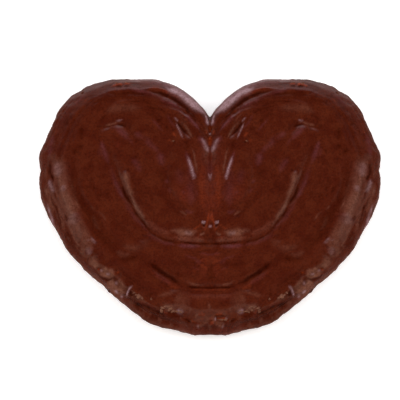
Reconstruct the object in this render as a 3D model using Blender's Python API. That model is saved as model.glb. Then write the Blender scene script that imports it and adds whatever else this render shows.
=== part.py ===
"""A palmier: a heart-shaped slice of coiled puff pastry, dipped all over in dark chocolate.

The slice lies on its flat underside. Its outline is two round lobes over one round base. The
section runs from a nearly flat top over a broad shoulder and a bulging wall to a flat underside.
The coil shows on the top as folds, which are valleys with a soft lip on their inner side, and
underneath as wider hollows between stretches pressed flat. Both halves mirror each other in the
plane x = 0.

Lengths are millimetres until the mesh is made. The frame is +X across the heart, +Y towards the
notch and +Z up, with the origin under the middle of the pastry.
"""

import math
from collections import namedtuple

import bmesh
import bpy
import numpy as np

NODE = "palmier"
MM = 0.001

# Driving sizes
WIDTH = 130.0
THICKNESS = 18.0

# Outline, seen from above. The heart's middle is where the outline's directions are counted from,
# and lies a little nearer the notch than the middle of the outline's box.
HEART_MIDDLE_Y = 0.029 * WIDTH
LOBE_RADIUS = 0.264 * WIDTH
LOBE_CENTRE = (0.2228 * WIDTH, 0.0837 * WIDTH)
BASE_RADIUS = 0.4058 * WIDTH
NOTCH_ROUNDING = 0.3
FLANK_ROUNDING = 5.0
EDGE_WAVE = 0.3

# Swells of the edge (millimetres, negative for dents): how far, at which turn up from the side in
# degrees, and how wide
Swell = namedtuple("Swell", "out turn spread")
SWELLS = (
    Swell(-1.7, -44.0, 9.0),
    Swell(0.8, -20.0, 12.0),
    Swell(2.7, 34.0, 14.0),
    Swell(1.5, 69.0, 8.0),
)

# Section, as shares of the outline's reach across and of the thickness in height
SHOULDER = 0.21
UNDERCUT = 0.09
TOP_HEIGHT = 0.98 * THICKNESS
BULGE_HEIGHT = 0.38 * THICKNESS
RING_SHARES = (0.48, 0.15, 0.11, 0.26)

# Mesh: the grid that takes the shape, and the share of its triangles that is kept
DIRECTIONS = 320
RINGS = 168
KEPT_SHARE = 0.088
POINTS_PER_SPAN = 6

# A fold is a valley along a path, which is given for the half where x is positive, with the inner
# side on its right: its depth, how far its outer and inner flanks reach, the height of the lip
# inside it, and the share of its length over which each end fades out.
Fold = namedtuple("Fold", "path depth outer inner lip fade_in fade_out")
LIP_REACH = 8.0
VALLEY_ROUNDING = 1.0

INNER_FOLD = Fold(
    [
        (41.5, 27), (39, 21), (35.5, 12), (32, 3), (29, -2.5),
        (24, -10.5), (18, -15), (11.5, -16.8), (0, -17.4),
    ],
    depth=1.5, outer=2.2, inner=1.6, lip=0.7, fade_in=0.25, fade_out=0.0,
)
LOWER_FOLD = Fold(
    [(26, -21.5), (22, -25.3), (15.4, -30.6), (9.5, -33.2), (4, -34), (0, -34)],
    depth=1.2, outer=1.8, inner=1.6, lip=0.3, fade_in=0.35, fade_out=0.0,
)
TOP_FOLD = Fold(
    [(43, 26), (38.5, 28), (34.7, 29.2), (31.5, 27), (29.5, 23), (28, 19)],
    depth=0.9, outer=1.2, inner=1.6, lip=0.3, fade_in=0.2, fade_out=0.4,
)
NOTCH_FOLD = Fold(
    [(26, 42), (18, 40.2), (12.8, 37.5), (8.6, 34.6), (6.8, 31)],
    depth=1.1, outer=1.0, inner=2.0, lip=0.2, fade_in=0.3, fade_out=0.2,
)
NARROW_FOLD = Fold(
    [(13.2, 31.5), (12, 29.3), (9.2, 25.7), (6.5, 22.5)],
    depth=1.3, outer=1.2, inner=1.2, lip=0.2, fade_in=0.3, fade_out=0.3,
)
COIL_EYE = Fold(
    [(9, 21.5), (14.7, 18.6), (16.5, 12.5), (16.2, 5.5), (12.8, -2), (8.6, -6.2), (5, -4)],
    depth=0.7, outer=2.6, inner=1.4, lip=0.2, fade_in=0.25, fade_out=0.15,
)
SEAM = Fold(
    [(0, 42), (0, 34), (0, 24), (0, 12), (0, -1), (0, -10)],
    depth=2.6, outer=2.4, inner=2.4, lip=0.0, fade_in=0.0, fade_out=0.85,
)
VALLEY = Fold(
    [(0, 22), (0, 8), (0, -9)],
    depth=1.1, outer=3.2, inner=3.2, lip=0.0, fade_in=0.3, fade_out=0.5,
)
TOP_FOLDS = (INNER_FOLD, LOWER_FOLD, TOP_FOLD, NOTCH_FOLD, NARROW_FOLD, COIL_EYE, SEAM, VALLEY)
UNDER_FOLDS = (
    INNER_FOLD._replace(depth=2.6, outer=3.2, inner=3.0),
    LOWER_FOLD._replace(depth=1.8, outer=2.6, inner=2.4),
    SEAM._replace(depth=2.6, outer=3.4, inner=3.4, fade_out=1.0),
)

# Hollows in the underside that are shallower than this are pressed flat
PRESSED_FLAT = 0.3

# The recess in the near wall, between the top's edge and the bulge below it
RECESS_DEPTH = 1.5
RECESS_HEIGHT = 0.62 * THICKNESS
RECESS_SPREAD = 0.10 * THICKNESS
RECESS_FROM_TO = (-86.0, -44.0)
RECESS_FADE = 12.0

CHOCOLATE = (0.074, 0.0165, 0.0075, 1.0)


def smooth_step(value, low, high):
    """0 below low, 1 above high, and an S-curve between."""
    share = np.clip((value - low) / (high - low), 0.0, 1.0)
    return share * share * (3.0 - 2.0 * share)


def smooth_max(first, second, rounding):
    """The larger of two lengths, with the corner where they cross rounded off."""
    return (first + second) / 2 + np.sqrt(((first - second) / 2) ** 2 + rounding**2)


def bump(value, middle, spread):
    """1 at the middle, dying away within about twice the spread."""
    return np.exp(-(((value - middle) / spread) ** 2))


def folded_turn(angle):
    """The direction's turn up from +X or -X, whichever is nearer, in radians."""
    return np.arctan2(np.sin(angle), np.abs(np.cos(angle)))


def reach_of_circle(angle, x, y, radius):
    """From the heart's middle, how far a circle round (x, y) reaches in each direction."""
    along = x * np.cos(angle) + y * np.sin(angle)
    across = x * np.sin(angle) - y * np.cos(angle)
    return along + np.sqrt(radius**2 - across**2)


def outline(angle):
    """The heart's reach: the furthest of two lobes and a base that fades out above the middle."""
    lobe_x, lobe_y = LOBE_CENTRE
    right = reach_of_circle(angle, lobe_x, lobe_y, LOBE_RADIUS)
    left = reach_of_circle(angle, -lobe_x, lobe_y, LOBE_RADIUS)
    lobes = smooth_max(right, left, NOTCH_ROUNDING)
    base = BASE_RADIUS * (1.0 - smooth_step(np.sin(angle), 0.0, 0.9))
    heart = smooth_max(lobes, base, FLANK_ROUNDING)
    turn = folded_turn(angle)
    wave = np.sin(9 * turn + 0.6) + 0.7 * np.sin(17 * turn + 2.1) + 0.5 * np.sin(29 * turn)
    swell = sum(one.out * bump(np.degrees(turn), one.turn, one.spread) for one in SWELLS)
    return heart + EDGE_WAVE * wave + swell


def section(share):
    """From the top's middle (0) to the underside's middle (1): reach as a share, and height."""
    ends = np.cumsum(RING_SHARES)
    top, shoulder, wall, under = (
        np.clip((share - end + size) / size, 0.0, 1.0) for end, size in zip(ends, RING_SHARES)
    )
    over = shoulder * math.pi / 2
    below = wall * math.pi / 2
    reach = (
        top * (1.0 - SHOULDER)
        + SHOULDER * np.sin(over)
        - UNDERCUT * (1.0 - np.cos(below))
        - under * (1.0 - UNDERCUT)
    )
    height = (
        BULGE_HEIGHT
        + (TOP_HEIGHT - BULGE_HEIGHT) * np.cos(over)
        - BULGE_HEIGHT * np.sin(below)
    )
    return reach, height


def smooth_path(points):
    """A Catmull-Rom curve through the points, sampled evenly in each span."""
    knots = np.array(points, float)
    knots = np.vstack([2 * knots[0] - knots[1], knots, 2 * knots[-1] - knots[-2]])
    t = np.linspace(0.0, 1.0, POINTS_PER_SPAN, endpoint=False)[:, None]
    spans = []
    for a, b, c, d in zip(knots, knots[1:], knots[2:], knots[3:]):
        cubic = (3 * b - a - 3 * c + d) * t**3 + (2 * a - 5 * b + 4 * c - d) * t**2
        spans.append((cubic + (c - a) * t + 2 * b) / 2)
    return np.vstack([*spans, knots[-2:-1]])


def along_and_across(x, y, path):
    """For each point, its nearest place along the path, from 0 to 1, and its distance to the
    right of the path, which is negative on the left."""
    starts, steps = path[:-1], np.diff(path, axis=0)
    lengths = np.linalg.norm(steps, axis=1)
    before = np.concatenate([[0.0], np.cumsum(lengths)[:-1]])
    from_start = np.stack([x, y], axis=-1)[:, None, :] - starts
    share = np.clip((from_start * steps).sum(-1) / lengths**2, 0.0, 1.0)
    apart = from_start - share[..., None] * steps
    distance = np.linalg.norm(apart, axis=-1)
    nearest = distance.argmin(axis=1)
    row = np.arange(len(nearest))
    side = steps[nearest, 1] * apart[row, nearest, 0] - steps[nearest, 0] * apart[row, nearest, 1]
    along = (before[nearest] + share[row, nearest] * lengths[nearest]) / lengths.sum()
    return along, distance[row, nearest] * np.where(side >= 0, 1.0, -1.0)


def fold_relief(x, y, fold):
    """The height that a fold adds: a valley that decays away on both sides, and a lip inside."""
    along, across = along_and_across(np.abs(x), y, smooth_path(fold.path))
    strength = np.ones_like(along)
    if fold.fade_in:
        strength *= smooth_step(along, 0.0, fold.fade_in)
    if fold.fade_out:
        strength *= smooth_step(1.0 - along, 0.0, fold.fade_out)
    apart = np.hypot(across, VALLEY_ROUNDING) - VALLEY_ROUNDING
    decay = np.exp(-apart / np.where(across > 0, fold.inner, fold.outer))
    lip = np.where(across > 0, fold.lip * (1.0 - decay) * np.exp(-apart / LIP_REACH), 0.0)
    return strength * (lip - fold.depth * decay)


def wall_recess(angle, height):
    """How far the wall draws in under the top's near edge."""
    turn = np.degrees(folded_turn(angle))
    low, high = RECESS_FROM_TO
    window = smooth_step(turn, low, low + RECESS_FADE) * smooth_step(-turn, -high, RECESS_FADE - high)
    return RECESS_DEPTH * window * bump(height, RECESS_HEIGHT, RECESS_SPREAD)


def palmier_points(angle, share):
    """The surface: the section carried round the outline, with the recess, the folds on top and
    the hollows beneath."""
    reach, height = section(share)
    distance = outline(angle) * reach - wall_recess(angle, height) * smooth_step(reach, 0.8, 1.0)
    x = distance * np.cos(angle)
    y = distance * np.sin(angle) + HEART_MIDDLE_Y
    on_top = smooth_step(height, BULGE_HEIGHT, TOP_HEIGHT)
    beneath = np.where(share > 0.5, 1.0 - smooth_step(height, 0.0, BULGE_HEIGHT), 0.0)
    beneath *= 1.0 - smooth_step(reach, 0.75, 0.9)
    height = height + on_top * sum(fold_relief(x, y, fold) for fold in TOP_FOLDS)
    hollow = sum(np.maximum(-fold_relief(x, y, fold), 0.0) for fold in UNDER_FOLDS)
    hollow = np.maximum(beneath * hollow - PRESSED_FLAT, 0.0)
    return np.stack([x, y, height + hollow], axis=-1)


def to_size(points):
    """The points moved and scaled to the driving sizes, with the origin under their middle."""
    low, high = points.min(axis=0), points.max(axis=0)
    under_middle = [(low[0] + high[0]) / 2, (low[1] + high[1]) / 2, low[2]]
    across = WIDTH / (high[0] - low[0])
    return (points - under_middle) * [across, across, THICKNESS / (high[2] - low[2])]


def palmier_mesh():
    """A globe whose longitude becomes the direction and whose latitude the place on the section."""
    mesh = bpy.data.meshes.new(NODE)
    globe = bmesh.new()
    bmesh.ops.create_uvsphere(globe, u_segments=DIRECTIONS, v_segments=RINGS, radius=1.0)
    globe.to_mesh(mesh)
    globe.free()
    points = np.empty(3 * len(mesh.vertices))
    mesh.vertices.foreach_get("co", points)
    points = points.reshape(-1, 3)
    angle = np.arctan2(points[:, 1], points[:, 0])
    share = np.arccos(np.clip(points[:, 2], -1.0, 1.0)) / math.pi
    shaped = to_size(palmier_points(angle, share)) * MM
    mesh.vertices.foreach_set("co", shaped.ravel())
    mesh.shade_smooth()
    return mesh


def chocolate_material():
    material = bpy.data.materials.new("dark_chocolate")
    material.use_nodes = True
    shader = material.node_tree.nodes["Principled BSDF"]
    shader.inputs["Base Color"].default_value = CHOCOLATE
    shader.inputs["Roughness"].default_value = 0.32
    shader.inputs["Metallic"].default_value = 0.0
    return material


def main():
    for obj in list(bpy.data.objects):
        bpy.data.objects.remove(obj)
    palmier = bpy.data.objects.new(NODE, palmier_mesh())
    palmier.data.materials.append(chocolate_material())
    bpy.context.scene.collection.objects.link(palmier)
    thin_out = palmier.modifiers.new("fewer triangles", "DECIMATE")
    thin_out.ratio = KEPT_SHARE


main()
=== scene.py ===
"""The looks of a palmier: a heart-shaped slice of coiled puff pastry dipped in dark chocolate.

The coating is one closed skin. Its shape is worked out from the same named sizes as the solid: a
section carried round a heart's outline, with folds along paths where the coil's turns meet. On top
come the marks of dipping by hand: creases, ridges and drag marks, each along its own short path,
and layers that show through at the edge. Much of their colour is painted light: painted shade in
the creases and grooves, and painted highlights and a painted cool sheen on the ridges and the rim.
Small flakes of pastry are stuck in it near the edge.

Lengths are millimetres, written for a pastry 130 across, and the meshes are fitted to the solid's
box at the end; the bumps in the materials and the stage are in metres. +X runs across the heart,
+Y towards the notch and +Z up. Both halves of the heart mirror each other, so paths are given for
the half where x is positive.
"""

import math
from collections import namedtuple

import bpy
import numpy as np
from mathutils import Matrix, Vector


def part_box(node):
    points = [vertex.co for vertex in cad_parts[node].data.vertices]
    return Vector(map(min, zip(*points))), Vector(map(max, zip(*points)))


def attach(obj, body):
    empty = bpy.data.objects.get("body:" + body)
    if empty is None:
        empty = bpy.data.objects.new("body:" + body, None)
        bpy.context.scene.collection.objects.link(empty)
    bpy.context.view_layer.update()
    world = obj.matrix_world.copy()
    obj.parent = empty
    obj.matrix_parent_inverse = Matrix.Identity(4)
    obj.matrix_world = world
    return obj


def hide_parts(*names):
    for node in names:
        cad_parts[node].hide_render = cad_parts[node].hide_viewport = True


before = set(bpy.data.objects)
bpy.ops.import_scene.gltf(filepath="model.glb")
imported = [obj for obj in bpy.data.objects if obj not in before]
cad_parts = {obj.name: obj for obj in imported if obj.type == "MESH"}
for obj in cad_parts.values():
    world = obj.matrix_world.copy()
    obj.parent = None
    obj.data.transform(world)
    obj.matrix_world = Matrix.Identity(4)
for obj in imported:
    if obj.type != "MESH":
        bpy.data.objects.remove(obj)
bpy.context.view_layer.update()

NODE = "palmier"

# Driving sizes
WIDTH = 130.0
THICKNESS = 18.0
BOX_LOW, BOX_HIGH = (np.array(corner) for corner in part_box(NODE))
MM = (BOX_HIGH[0] - BOX_LOW[0]) / WIDTH

# How far the skin reaches past the solid at the far side, in metres
FAR_SIDE_BULGE = (0.0, 0.0004, 0.0)

# Outline, seen from above, round the heart's middle
HEART_MIDDLE_Y = 0.029 * WIDTH
LOBE_RADIUS = 0.264 * WIDTH
LOBE_CENTRE = (0.2228 * WIDTH, 0.0837 * WIDTH)
BASE_RADIUS = 0.4058 * WIDTH
BASE_FADE = (0.0, 0.9)
NOTCH_ROUNDING = 0.3
FLANK_ROUNDING = 5.0

# Waves of the edge: how high, how many in a full turn and how far along they start, in radians
EDGE_WAVES = ((0.3, 9, 0.6), (0.21, 17, 2.1), (0.15, 29, 0.0))

# Swells of the edge: how far out, at which turn up from the side in degrees, and how wide
Swell = namedtuple("Swell", "out turn spread")
SWELLS = (
    Swell(-1.7, -44.0, 9.0),
    Swell(0.8, -20.0, 12.0),
    Swell(2.7, 34.0, 14.0),
    Swell(1.5, 69.0, 8.0),
    Swell(0.6, -47.0, 7.0),
    Swell(0.6, -3.0, 4.0),
    Swell(0.8, 13.0, 3.0),
    Swell(1.0, 48.0, 5.0),
    Swell(1.0, 74.0, 6.0),
    Swell(0.4, 62.0, 4.0),
)

# Section, as shares of the outline's reach across and of the thickness in height. The faces'
# lean is worked out for the outline's mean reach.
SHOULDER = 0.21
UNDERCUT = 0.09
MEAN_REACH = 0.46 * WIDTH
TOP_HEIGHT = 0.98 * THICKNESS
BULGE_HEIGHT = 0.38 * THICKNESS

# The skin's grid: squares from the middle of the top out to its widest, rings down the wall, and
# squares under it that reach nearly out to its foot
TOP_RINGS = 124
FLAT_SHARE = 0.72
WALL_RINGS = 14
UNDER_REACH = 0.985

# How many points of a smooth path lie between two that are given
POINTS_PER_SPAN = 6

# A fold is a valley along a path: its depth, how far its outer and inner flanks reach, the height
# of the lip inside it, the share of its length over which each end fades out, and the depth of the
# sharp crease at its bottom. The inner side is on the path's right.
Fold = namedtuple("Fold", "path depth outer inner lip fade_in fade_out crease")
LIP_REACH = 8.0
VALLEY_ROUNDING = 0.5
CREASE_WIDTH = 0.3

INNER_FOLD = Fold(
    [(41.5, 27), (39, 21), (35.5, 12), (32, 3), (29, -2.5), (24, -10.5), (18, -15), (12, -16.8)],
    depth=1.3, outer=2.2, inner=1.6, lip=0.7, fade_in=0.45, fade_out=0.4, crease=0.05,
)
MIDDLE_FOLD = Fold(
    [(24, -10.5), (18, -15), (11.5, -16.8), (0, -17.4)],
    depth=0.6, outer=1.6, inner=1.4, lip=0.3, fade_in=0.5, fade_out=0.0, crease=0.0,
)
LOWER_FOLD = Fold(
    [(26, -21.5), (22, -25.3), (15.4, -30.6), (9.5, -33.2), (4, -34), (0, -34)],
    depth=0.6, outer=1.8, inner=2.0, lip=0.2, fade_in=0.35, fade_out=0.0, crease=0.0,
)
TOP_FOLD = Fold(
    [(43, 26), (38.5, 28), (34.7, 29.2), (31.5, 27), (29.5, 23), (28, 19)],
    depth=0.7, outer=1.2, inner=1.6, lip=0.3, fade_in=0.2, fade_out=0.4, crease=0.0,
)
NOTCH_FOLD = Fold(
    [(26, 42.4), (20, 41.4), (16, 39.6), (12.5, 37.5), (9.6, 34.8), (7.4, 31)],
    depth=0.6, outer=1.2, inner=2.2, lip=0.1, fade_in=0.3, fade_out=0.2, crease=0.0,
)
NARROW_FOLD = Fold(
    [(13.2, 31.5), (12, 29.3), (9.2, 25.7), (6.5, 22.5)],
    depth=0.7, outer=1.1, inner=1.1, lip=0.2, fade_in=0.3, fade_out=0.3, crease=0.0,
)
COIL_EYE = Fold(
    [(9, 21.5), (14.7, 18.6), (16.5, 12.5), (16.2, 5.5), (12.8, -2), (8.6, -6.2), (5, -4)],
    depth=0.7, outer=2.6, inner=1.4, lip=0.2, fade_in=0.25, fade_out=0.15, crease=0.0,
)
SEAM = Fold(
    [(0, 42), (0, 34), (0, 24), (0, 12), (0, -1), (0, -10)],
    depth=2.6, outer=2.4, inner=2.4, lip=0.0, fade_in=0.0, fade_out=0.85, crease=0.3,
)
VALLEY = Fold(
    [(0, 22), (0, 8), (0, -9)],
    depth=1.1, outer=3.2, inner=3.2, lip=0.0, fade_in=0.3, fade_out=0.5, crease=0.0,
)
TOP_FOLDS = (
    INNER_FOLD,
    MIDDLE_FOLD,
    LOWER_FOLD,
    TOP_FOLD,
    NOTCH_FOLD,
    NARROW_FOLD,
    COIL_EYE,
    SEAM,
    VALLEY,
)

# The folds that show softly underneath, how far out they fade, as shares of the outline's reach,
# and how much of their depth is lost where the pastry rests
UNDER_FOLDS = (
    INNER_FOLD._replace(depth=2.6, outer=3.2, inner=3.0, crease=0.0, fade_out=0.2),
    LOWER_FOLD._replace(depth=1.8, outer=2.6, inner=2.4, crease=0.0),
    SEAM._replace(depth=2.6, outer=3.4, inner=3.4, fade_out=1.0, crease=0.0),
)
UNDER_FADE = (0.75, 0.9)
PRESSED_FLAT = 0.3

# The recess in the near wall, between the top's edge and the bulge below it: its depth, its
# height and spread up the wall, its turns in degrees, and the share of the reach where it begins
RECESS_DEPTH = 1.5
RECESS_HEIGHT = 0.62 * THICKNESS
RECESS_SPREAD = 0.10 * THICKNESS
RECESS_FROM_TO = (-86.0, -44.0)
RECESS_FADE = 12.0
RECESS_REACH = (0.8, 1.0)

# A mark is a short ridge, groove or smear, left as the coating ran and set. It has a tint and how
# much of it, its half-width, how far it rises, its path, the share of its length over which each
# end tapers, whether its edges are crisp, and whether both halves of the heart have it. Most tints
# are painted light: painted shade along grooves, and painted highlights and a painted cool sheen
# along ridges. The red and the bare pastry are the coating's own colour.
Mark = namedtuple("Mark", "tint amount width rise path taper crisp both", defaults=(0.3, False, True))

# The share of its width that a mark keeps at its ends, how far out it still shows, in half-widths,
# and how steep the sides of a soft and of a crisp tint are
MARK_END_WIDTH = 0.35
MARK_REACH = 2.5
SOFT_SIDES, CRISP_SIDES = 2, 5

# Along the inner fold: the crevice in painted shade, its outer flank in a painted cool sheen, the
# tongue inside it as a painted highlight, and its foot
INNER_FOLD_MARKS = (
    Mark(
        "shade", 0.70, 0.36, -0.12,
        [(23, -12.2), (20.4, -14.3), (17.6, -15.6), (14.4, -16.6), (11, -17)], 0.2,
    ),
    Mark("painted_cool_sheen", 0.40, 0.50, 0.05, [(23.8, -13.4), (20, -16), (16.6, -17.2), (12, -18.2)], 0.2),
    Mark("shade", 0.35, 0.45, 0.00, [(39.2, 21), (37.8, 17.5), (36.5, 14.5), (35.2, 11.5)]),
    Mark("shade", 0.30, 0.35, 0.00, [(35.6, 12), (34.2, 8.5), (33, 5)]),
    Mark("shade", 1.10, 0.66, -0.15, [(33.2, 5.5), (32.3, 3), (31.2, 0.8), (30, -1.2), (28.8, -3.4)]),
    Mark(
        "shade", 1.00, 0.52, -0.10,
        [(29.5, -2.3), (28, -4.8), (26.3, -7.2), (24.6, -9.6), (22.5, -12.3), (20.5, -14)],
    ),
    Mark("shade", 0.25, 0.35, 0.00, [(20.5, -14), (16.5, -15.7), (12, -16.6)]),
    Mark("shade", 0.90, 0.34, -0.05, [(12.4, -16.7), (9, -17.1), (5, -17.3), (0, -17.5), (-4, -17.5)]),
    Mark("painted_cool_sheen", 0.60, 0.75, 0.10, [(41.2, 22.5), (40.2, 19), (39, 16), (37.6, 13)]),
    Mark("painted_cool_sheen", 0.30, 0.60, 0.05, [(42, 19.4), (41.4, 17.5), (41, 15.8)]),
    Mark("painted_cool_sheen", 0.22, 0.80, 0.00, [(37.8, 13.5), (36.5, 10), (35.3, 6.5), (34, 3.5)]),
    Mark("painted_cool_sheen", 0.50, 0.70, 0.05, [(36.1, 8.4), (34.9, 5), (33.5, 2), (32.3, -0.6)]),
    Mark(
        "painted_cool_sheen", 0.34, 0.70, 0.00,
        [(32.9, 0.6), (31, -3), (29.4, -5.6), (27.4, -8.2), (25, -10.6), (22.2, -13.6)],
    ),
    Mark("painted_highlight", 0.72, 0.80, 0.20, [(31.7, 10.6), (31.1, 7), (30.3, 3.6), (29.1, 0.6)], 0.12),
    Mark(
        "painted_highlight", 0.70, 0.66, 0.18,
        [(29.9, 2), (28.3, -1.6), (26.9, -4.5), (25.3, -7.2), (24.2, -8.8)], 0.12,
    ),
    Mark("gleam", 0.35, 0.36, 0.05, [(32, 10.8), (31.6, 9.4)]),
    Mark("painted_highlight", 0.26, 1.10, 0.05, [(24.8, -8.2), (22, -10.4), (19, -12.3), (14, -14)]),
    Mark("red", 0.45, 1.10, 0.00, [(24.8, -8.2), (22, -10.4), (19, -12.3), (14, -14.2)]),
    Mark("painted_highlight", 0.78, 1.30, 0.12, [(13.6, -12.9), (10.6, -13.3), (7.6, -13.6), (4.6, -12.7)], 0.35),
    Mark("gleam", 0.18, 0.70, 0.05, [(9.8, -13.2), (8, -13.6), (6.4, -13.3)]),
    Mark("painted_highlight", 0.40, 0.70, 0.05, [(15.4, -12.5), (12.8, -12.5), (10, -12.7)]),
    Mark("red", 0.60, 0.80, 0.05, [(14.4, -15.2), (10, -15.7), (5, -15.5), (1.5, -16)]),
    Mark("painted_highlight", 0.40, 0.62, 0.05, [(14, -15), (9, -15.6), (4, -15.8), (1.8, -16.1)]),
    Mark("bare", 0.60, 0.30, 0.10, [(6.2, -12.4), (4.4, -11), (3.1, -9.6)]),
    Mark("painted_highlight", 0.75, 0.34, 0.10, [(4.4, -14.5), (2.8, -13.8), (1.9, -12.8)]),
    Mark("painted_cool_sheen", 0.75, 0.65, 0.05, [(12.6, -18), (9, -18.5), (5.5, -18.6), (3, -18.3)]),
)

# The pit where the seam ends: a painted highlight on its drop, painted shade below it, and bare pastry
PIT_MARKS = (
    Mark("gleam", 1.00, 0.36, 0.30, [(3.2, -9.1), (2.2, -9.5), (1.5, -9.2)], 0.2, True),
    Mark("shade", 1.00, 0.60, -0.60, [(2.9, -10.4), (1.4, -10.7)], 0.2, True),
    Mark("bare", 1.00, 0.34, 0.00, [(0, -3.6), (0.5, -7), (1.2, -10), (2, -13)]),
    Mark("bare", 0.70, 0.30, -0.20, [(0, -4.6), (0, -9.6)]),
    Mark("gleam", 0.60, 0.26, 0.10, [(0.3, -10.8), (0, -11.4), (-0.3, -10.8)]),
    Mark("shade", 0.90, 0.32, -0.30, [(0, -11.8), (0, -13.6)]),
    Mark("bare", 0.70, 0.26, 0.00, [(1.6, -12.2), (3.4, -10.6)]),
)

# The reddish valley down the middle, the drops in its seam and the notch above, with painted
# highlights and a painted cool sheen on their flanks and a little painted shade
VALLEY_MARKS = (
    Mark("red", 0.50, 4.40, 0.00, [(0, 25), (0, 10), (0, 2), (0, -10)], 0.25),
    Mark("bare", 0.28, 1.30, 0.00, [(2.6, 14), (3, 8), (3.2, 2), (2.6, -4)]),
    Mark("painted_cool_sheen", 0.40, 0.45, 0.05, [(0.5, 16.8), (0.4, 12), (0.5, 6)]),
    Mark("gleam", 0.40, 0.30, 0.10, [(0.6, 10.4), (0.4, 9), (0.3, 7)]),
    Mark("gleam", 0.50, 0.80, 0.30, [(3.2, 23.6), (2, 21.6), (1.1, 19.6), (0.5, 18)]),
    Mark("gleam", 0.45, 0.35, 0.10, [(1.6, 22), (0.9, 20), (0.5, 18.7)]),
    Mark("painted_cool_sheen", 0.60, 1.20, 0.20, [(4.4, 24.4), (2.6, 21.6), (1.3, 19.2)]),
    Mark("bare", 0.90, 0.50, -0.10, [(0, 24.6), (0, 20.2)]),
    Mark("bare", 0.50, 0.50, 0.00, [(1.2, 27.2), (1.2, 25)]),
    Mark("gleam", 0.60, 0.30, 0.20, [(0.3, 25.3), (-0.3, 25.3)]),
    Mark("shade", 0.60, 0.25, -0.10, [(1.5, 17.3), (1.1, 16.6)]),
    Mark("painted_cool_sheen", 0.55, 0.50, 0.05, [(1.5, 31.4), (1.3, 28.4)]),
    Mark("gleam", 0.95, 0.50, 0.10, [(2, 33.6), (1.2, 31.4), (0.8, 28.8)], 0.25),
    Mark("bare", 0.60, 0.26, 0.00, [(0, 33), (0, 26)]),
)

# The coil's eye: its bulb, redder and in a painted cool sheen, the crease at its foot in painted
# shade beside a painted highlight, and a painted highlight on the flank beside the valley
EYE_MARKS = (
    Mark("red", 0.48, 3.50, 0.20, [(10.2, 9.4), (9.7, 3.5), (8.6, -2.6)], 0.25),
    Mark("painted_cool_sheen", 0.30, 1.60, 0.05, [(8, 12), (7.4, 4.6), (7, 0), (7.2, -4)]),
    Mark("painted_cool_sheen", 0.22, 1.50, 0.05, [(12.4, 12), (11.2, 7.8), (11, 4)]),
    Mark("painted_cool_sheen", 0.50, 0.45, 0.10, [(9.4, -4.6), (7.6, -5.5), (5.9, -5.2)]),
    Mark("painted_cool_sheen", 0.35, 0.40, 0.05, [(5.2, 3.4), (4.9, 0.8)]),
    Mark("painted_cool_sheen", 0.30, 0.50, 0.05, [(10.6, 2.8), (9.3, 1.2)]),
    Mark("shade", 0.70, 0.26, -0.25, [(13.4, -3.6), (12.2, -5), (10.8, -6.2), (8.7, -7.2)]),
    Mark("painted_highlight", 0.65, 0.26, 0.15, [(11.4, -4.7), (9.6, -5.9), (8.1, -6.6)]),
    Mark("painted_cool_sheen", 0.50, 0.45, 0.10, [(16.7, 7.4), (15.9, 5.6)]),
    Mark("painted_cool_sheen", 0.50, 0.45, 0.10, [(15.8, 4), (14.6, 1.6)]),
    Mark("shade", 0.30, 0.30, -0.10, [(15.1, 0.2), (14, -2), (12.9, -4.2)]),
    Mark("painted_cool_sheen", 0.75, 0.70, 0.15, [(9.3, 18.8), (8.3, 16), (7.2, 12), (6.3, 9), (5.7, 6.2)]),
    Mark("gleam", 0.80, 0.42, 0.20, [(8.4, 16.4), (7.4, 13.3), (6.5, 10.4), (6.1, 8)], 0.3),
    Mark("gleam", 0.75, 0.36, 0.20, [(6.9, 10.4), (6.4, 8.8), (6.1, 7)], 0.3),
    Mark("painted_highlight", 0.45, 0.26, 0.10, [(7.3, 20), (6.1, 17), (5.3, 13.5), (4.9, 8.5)]),
)

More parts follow.
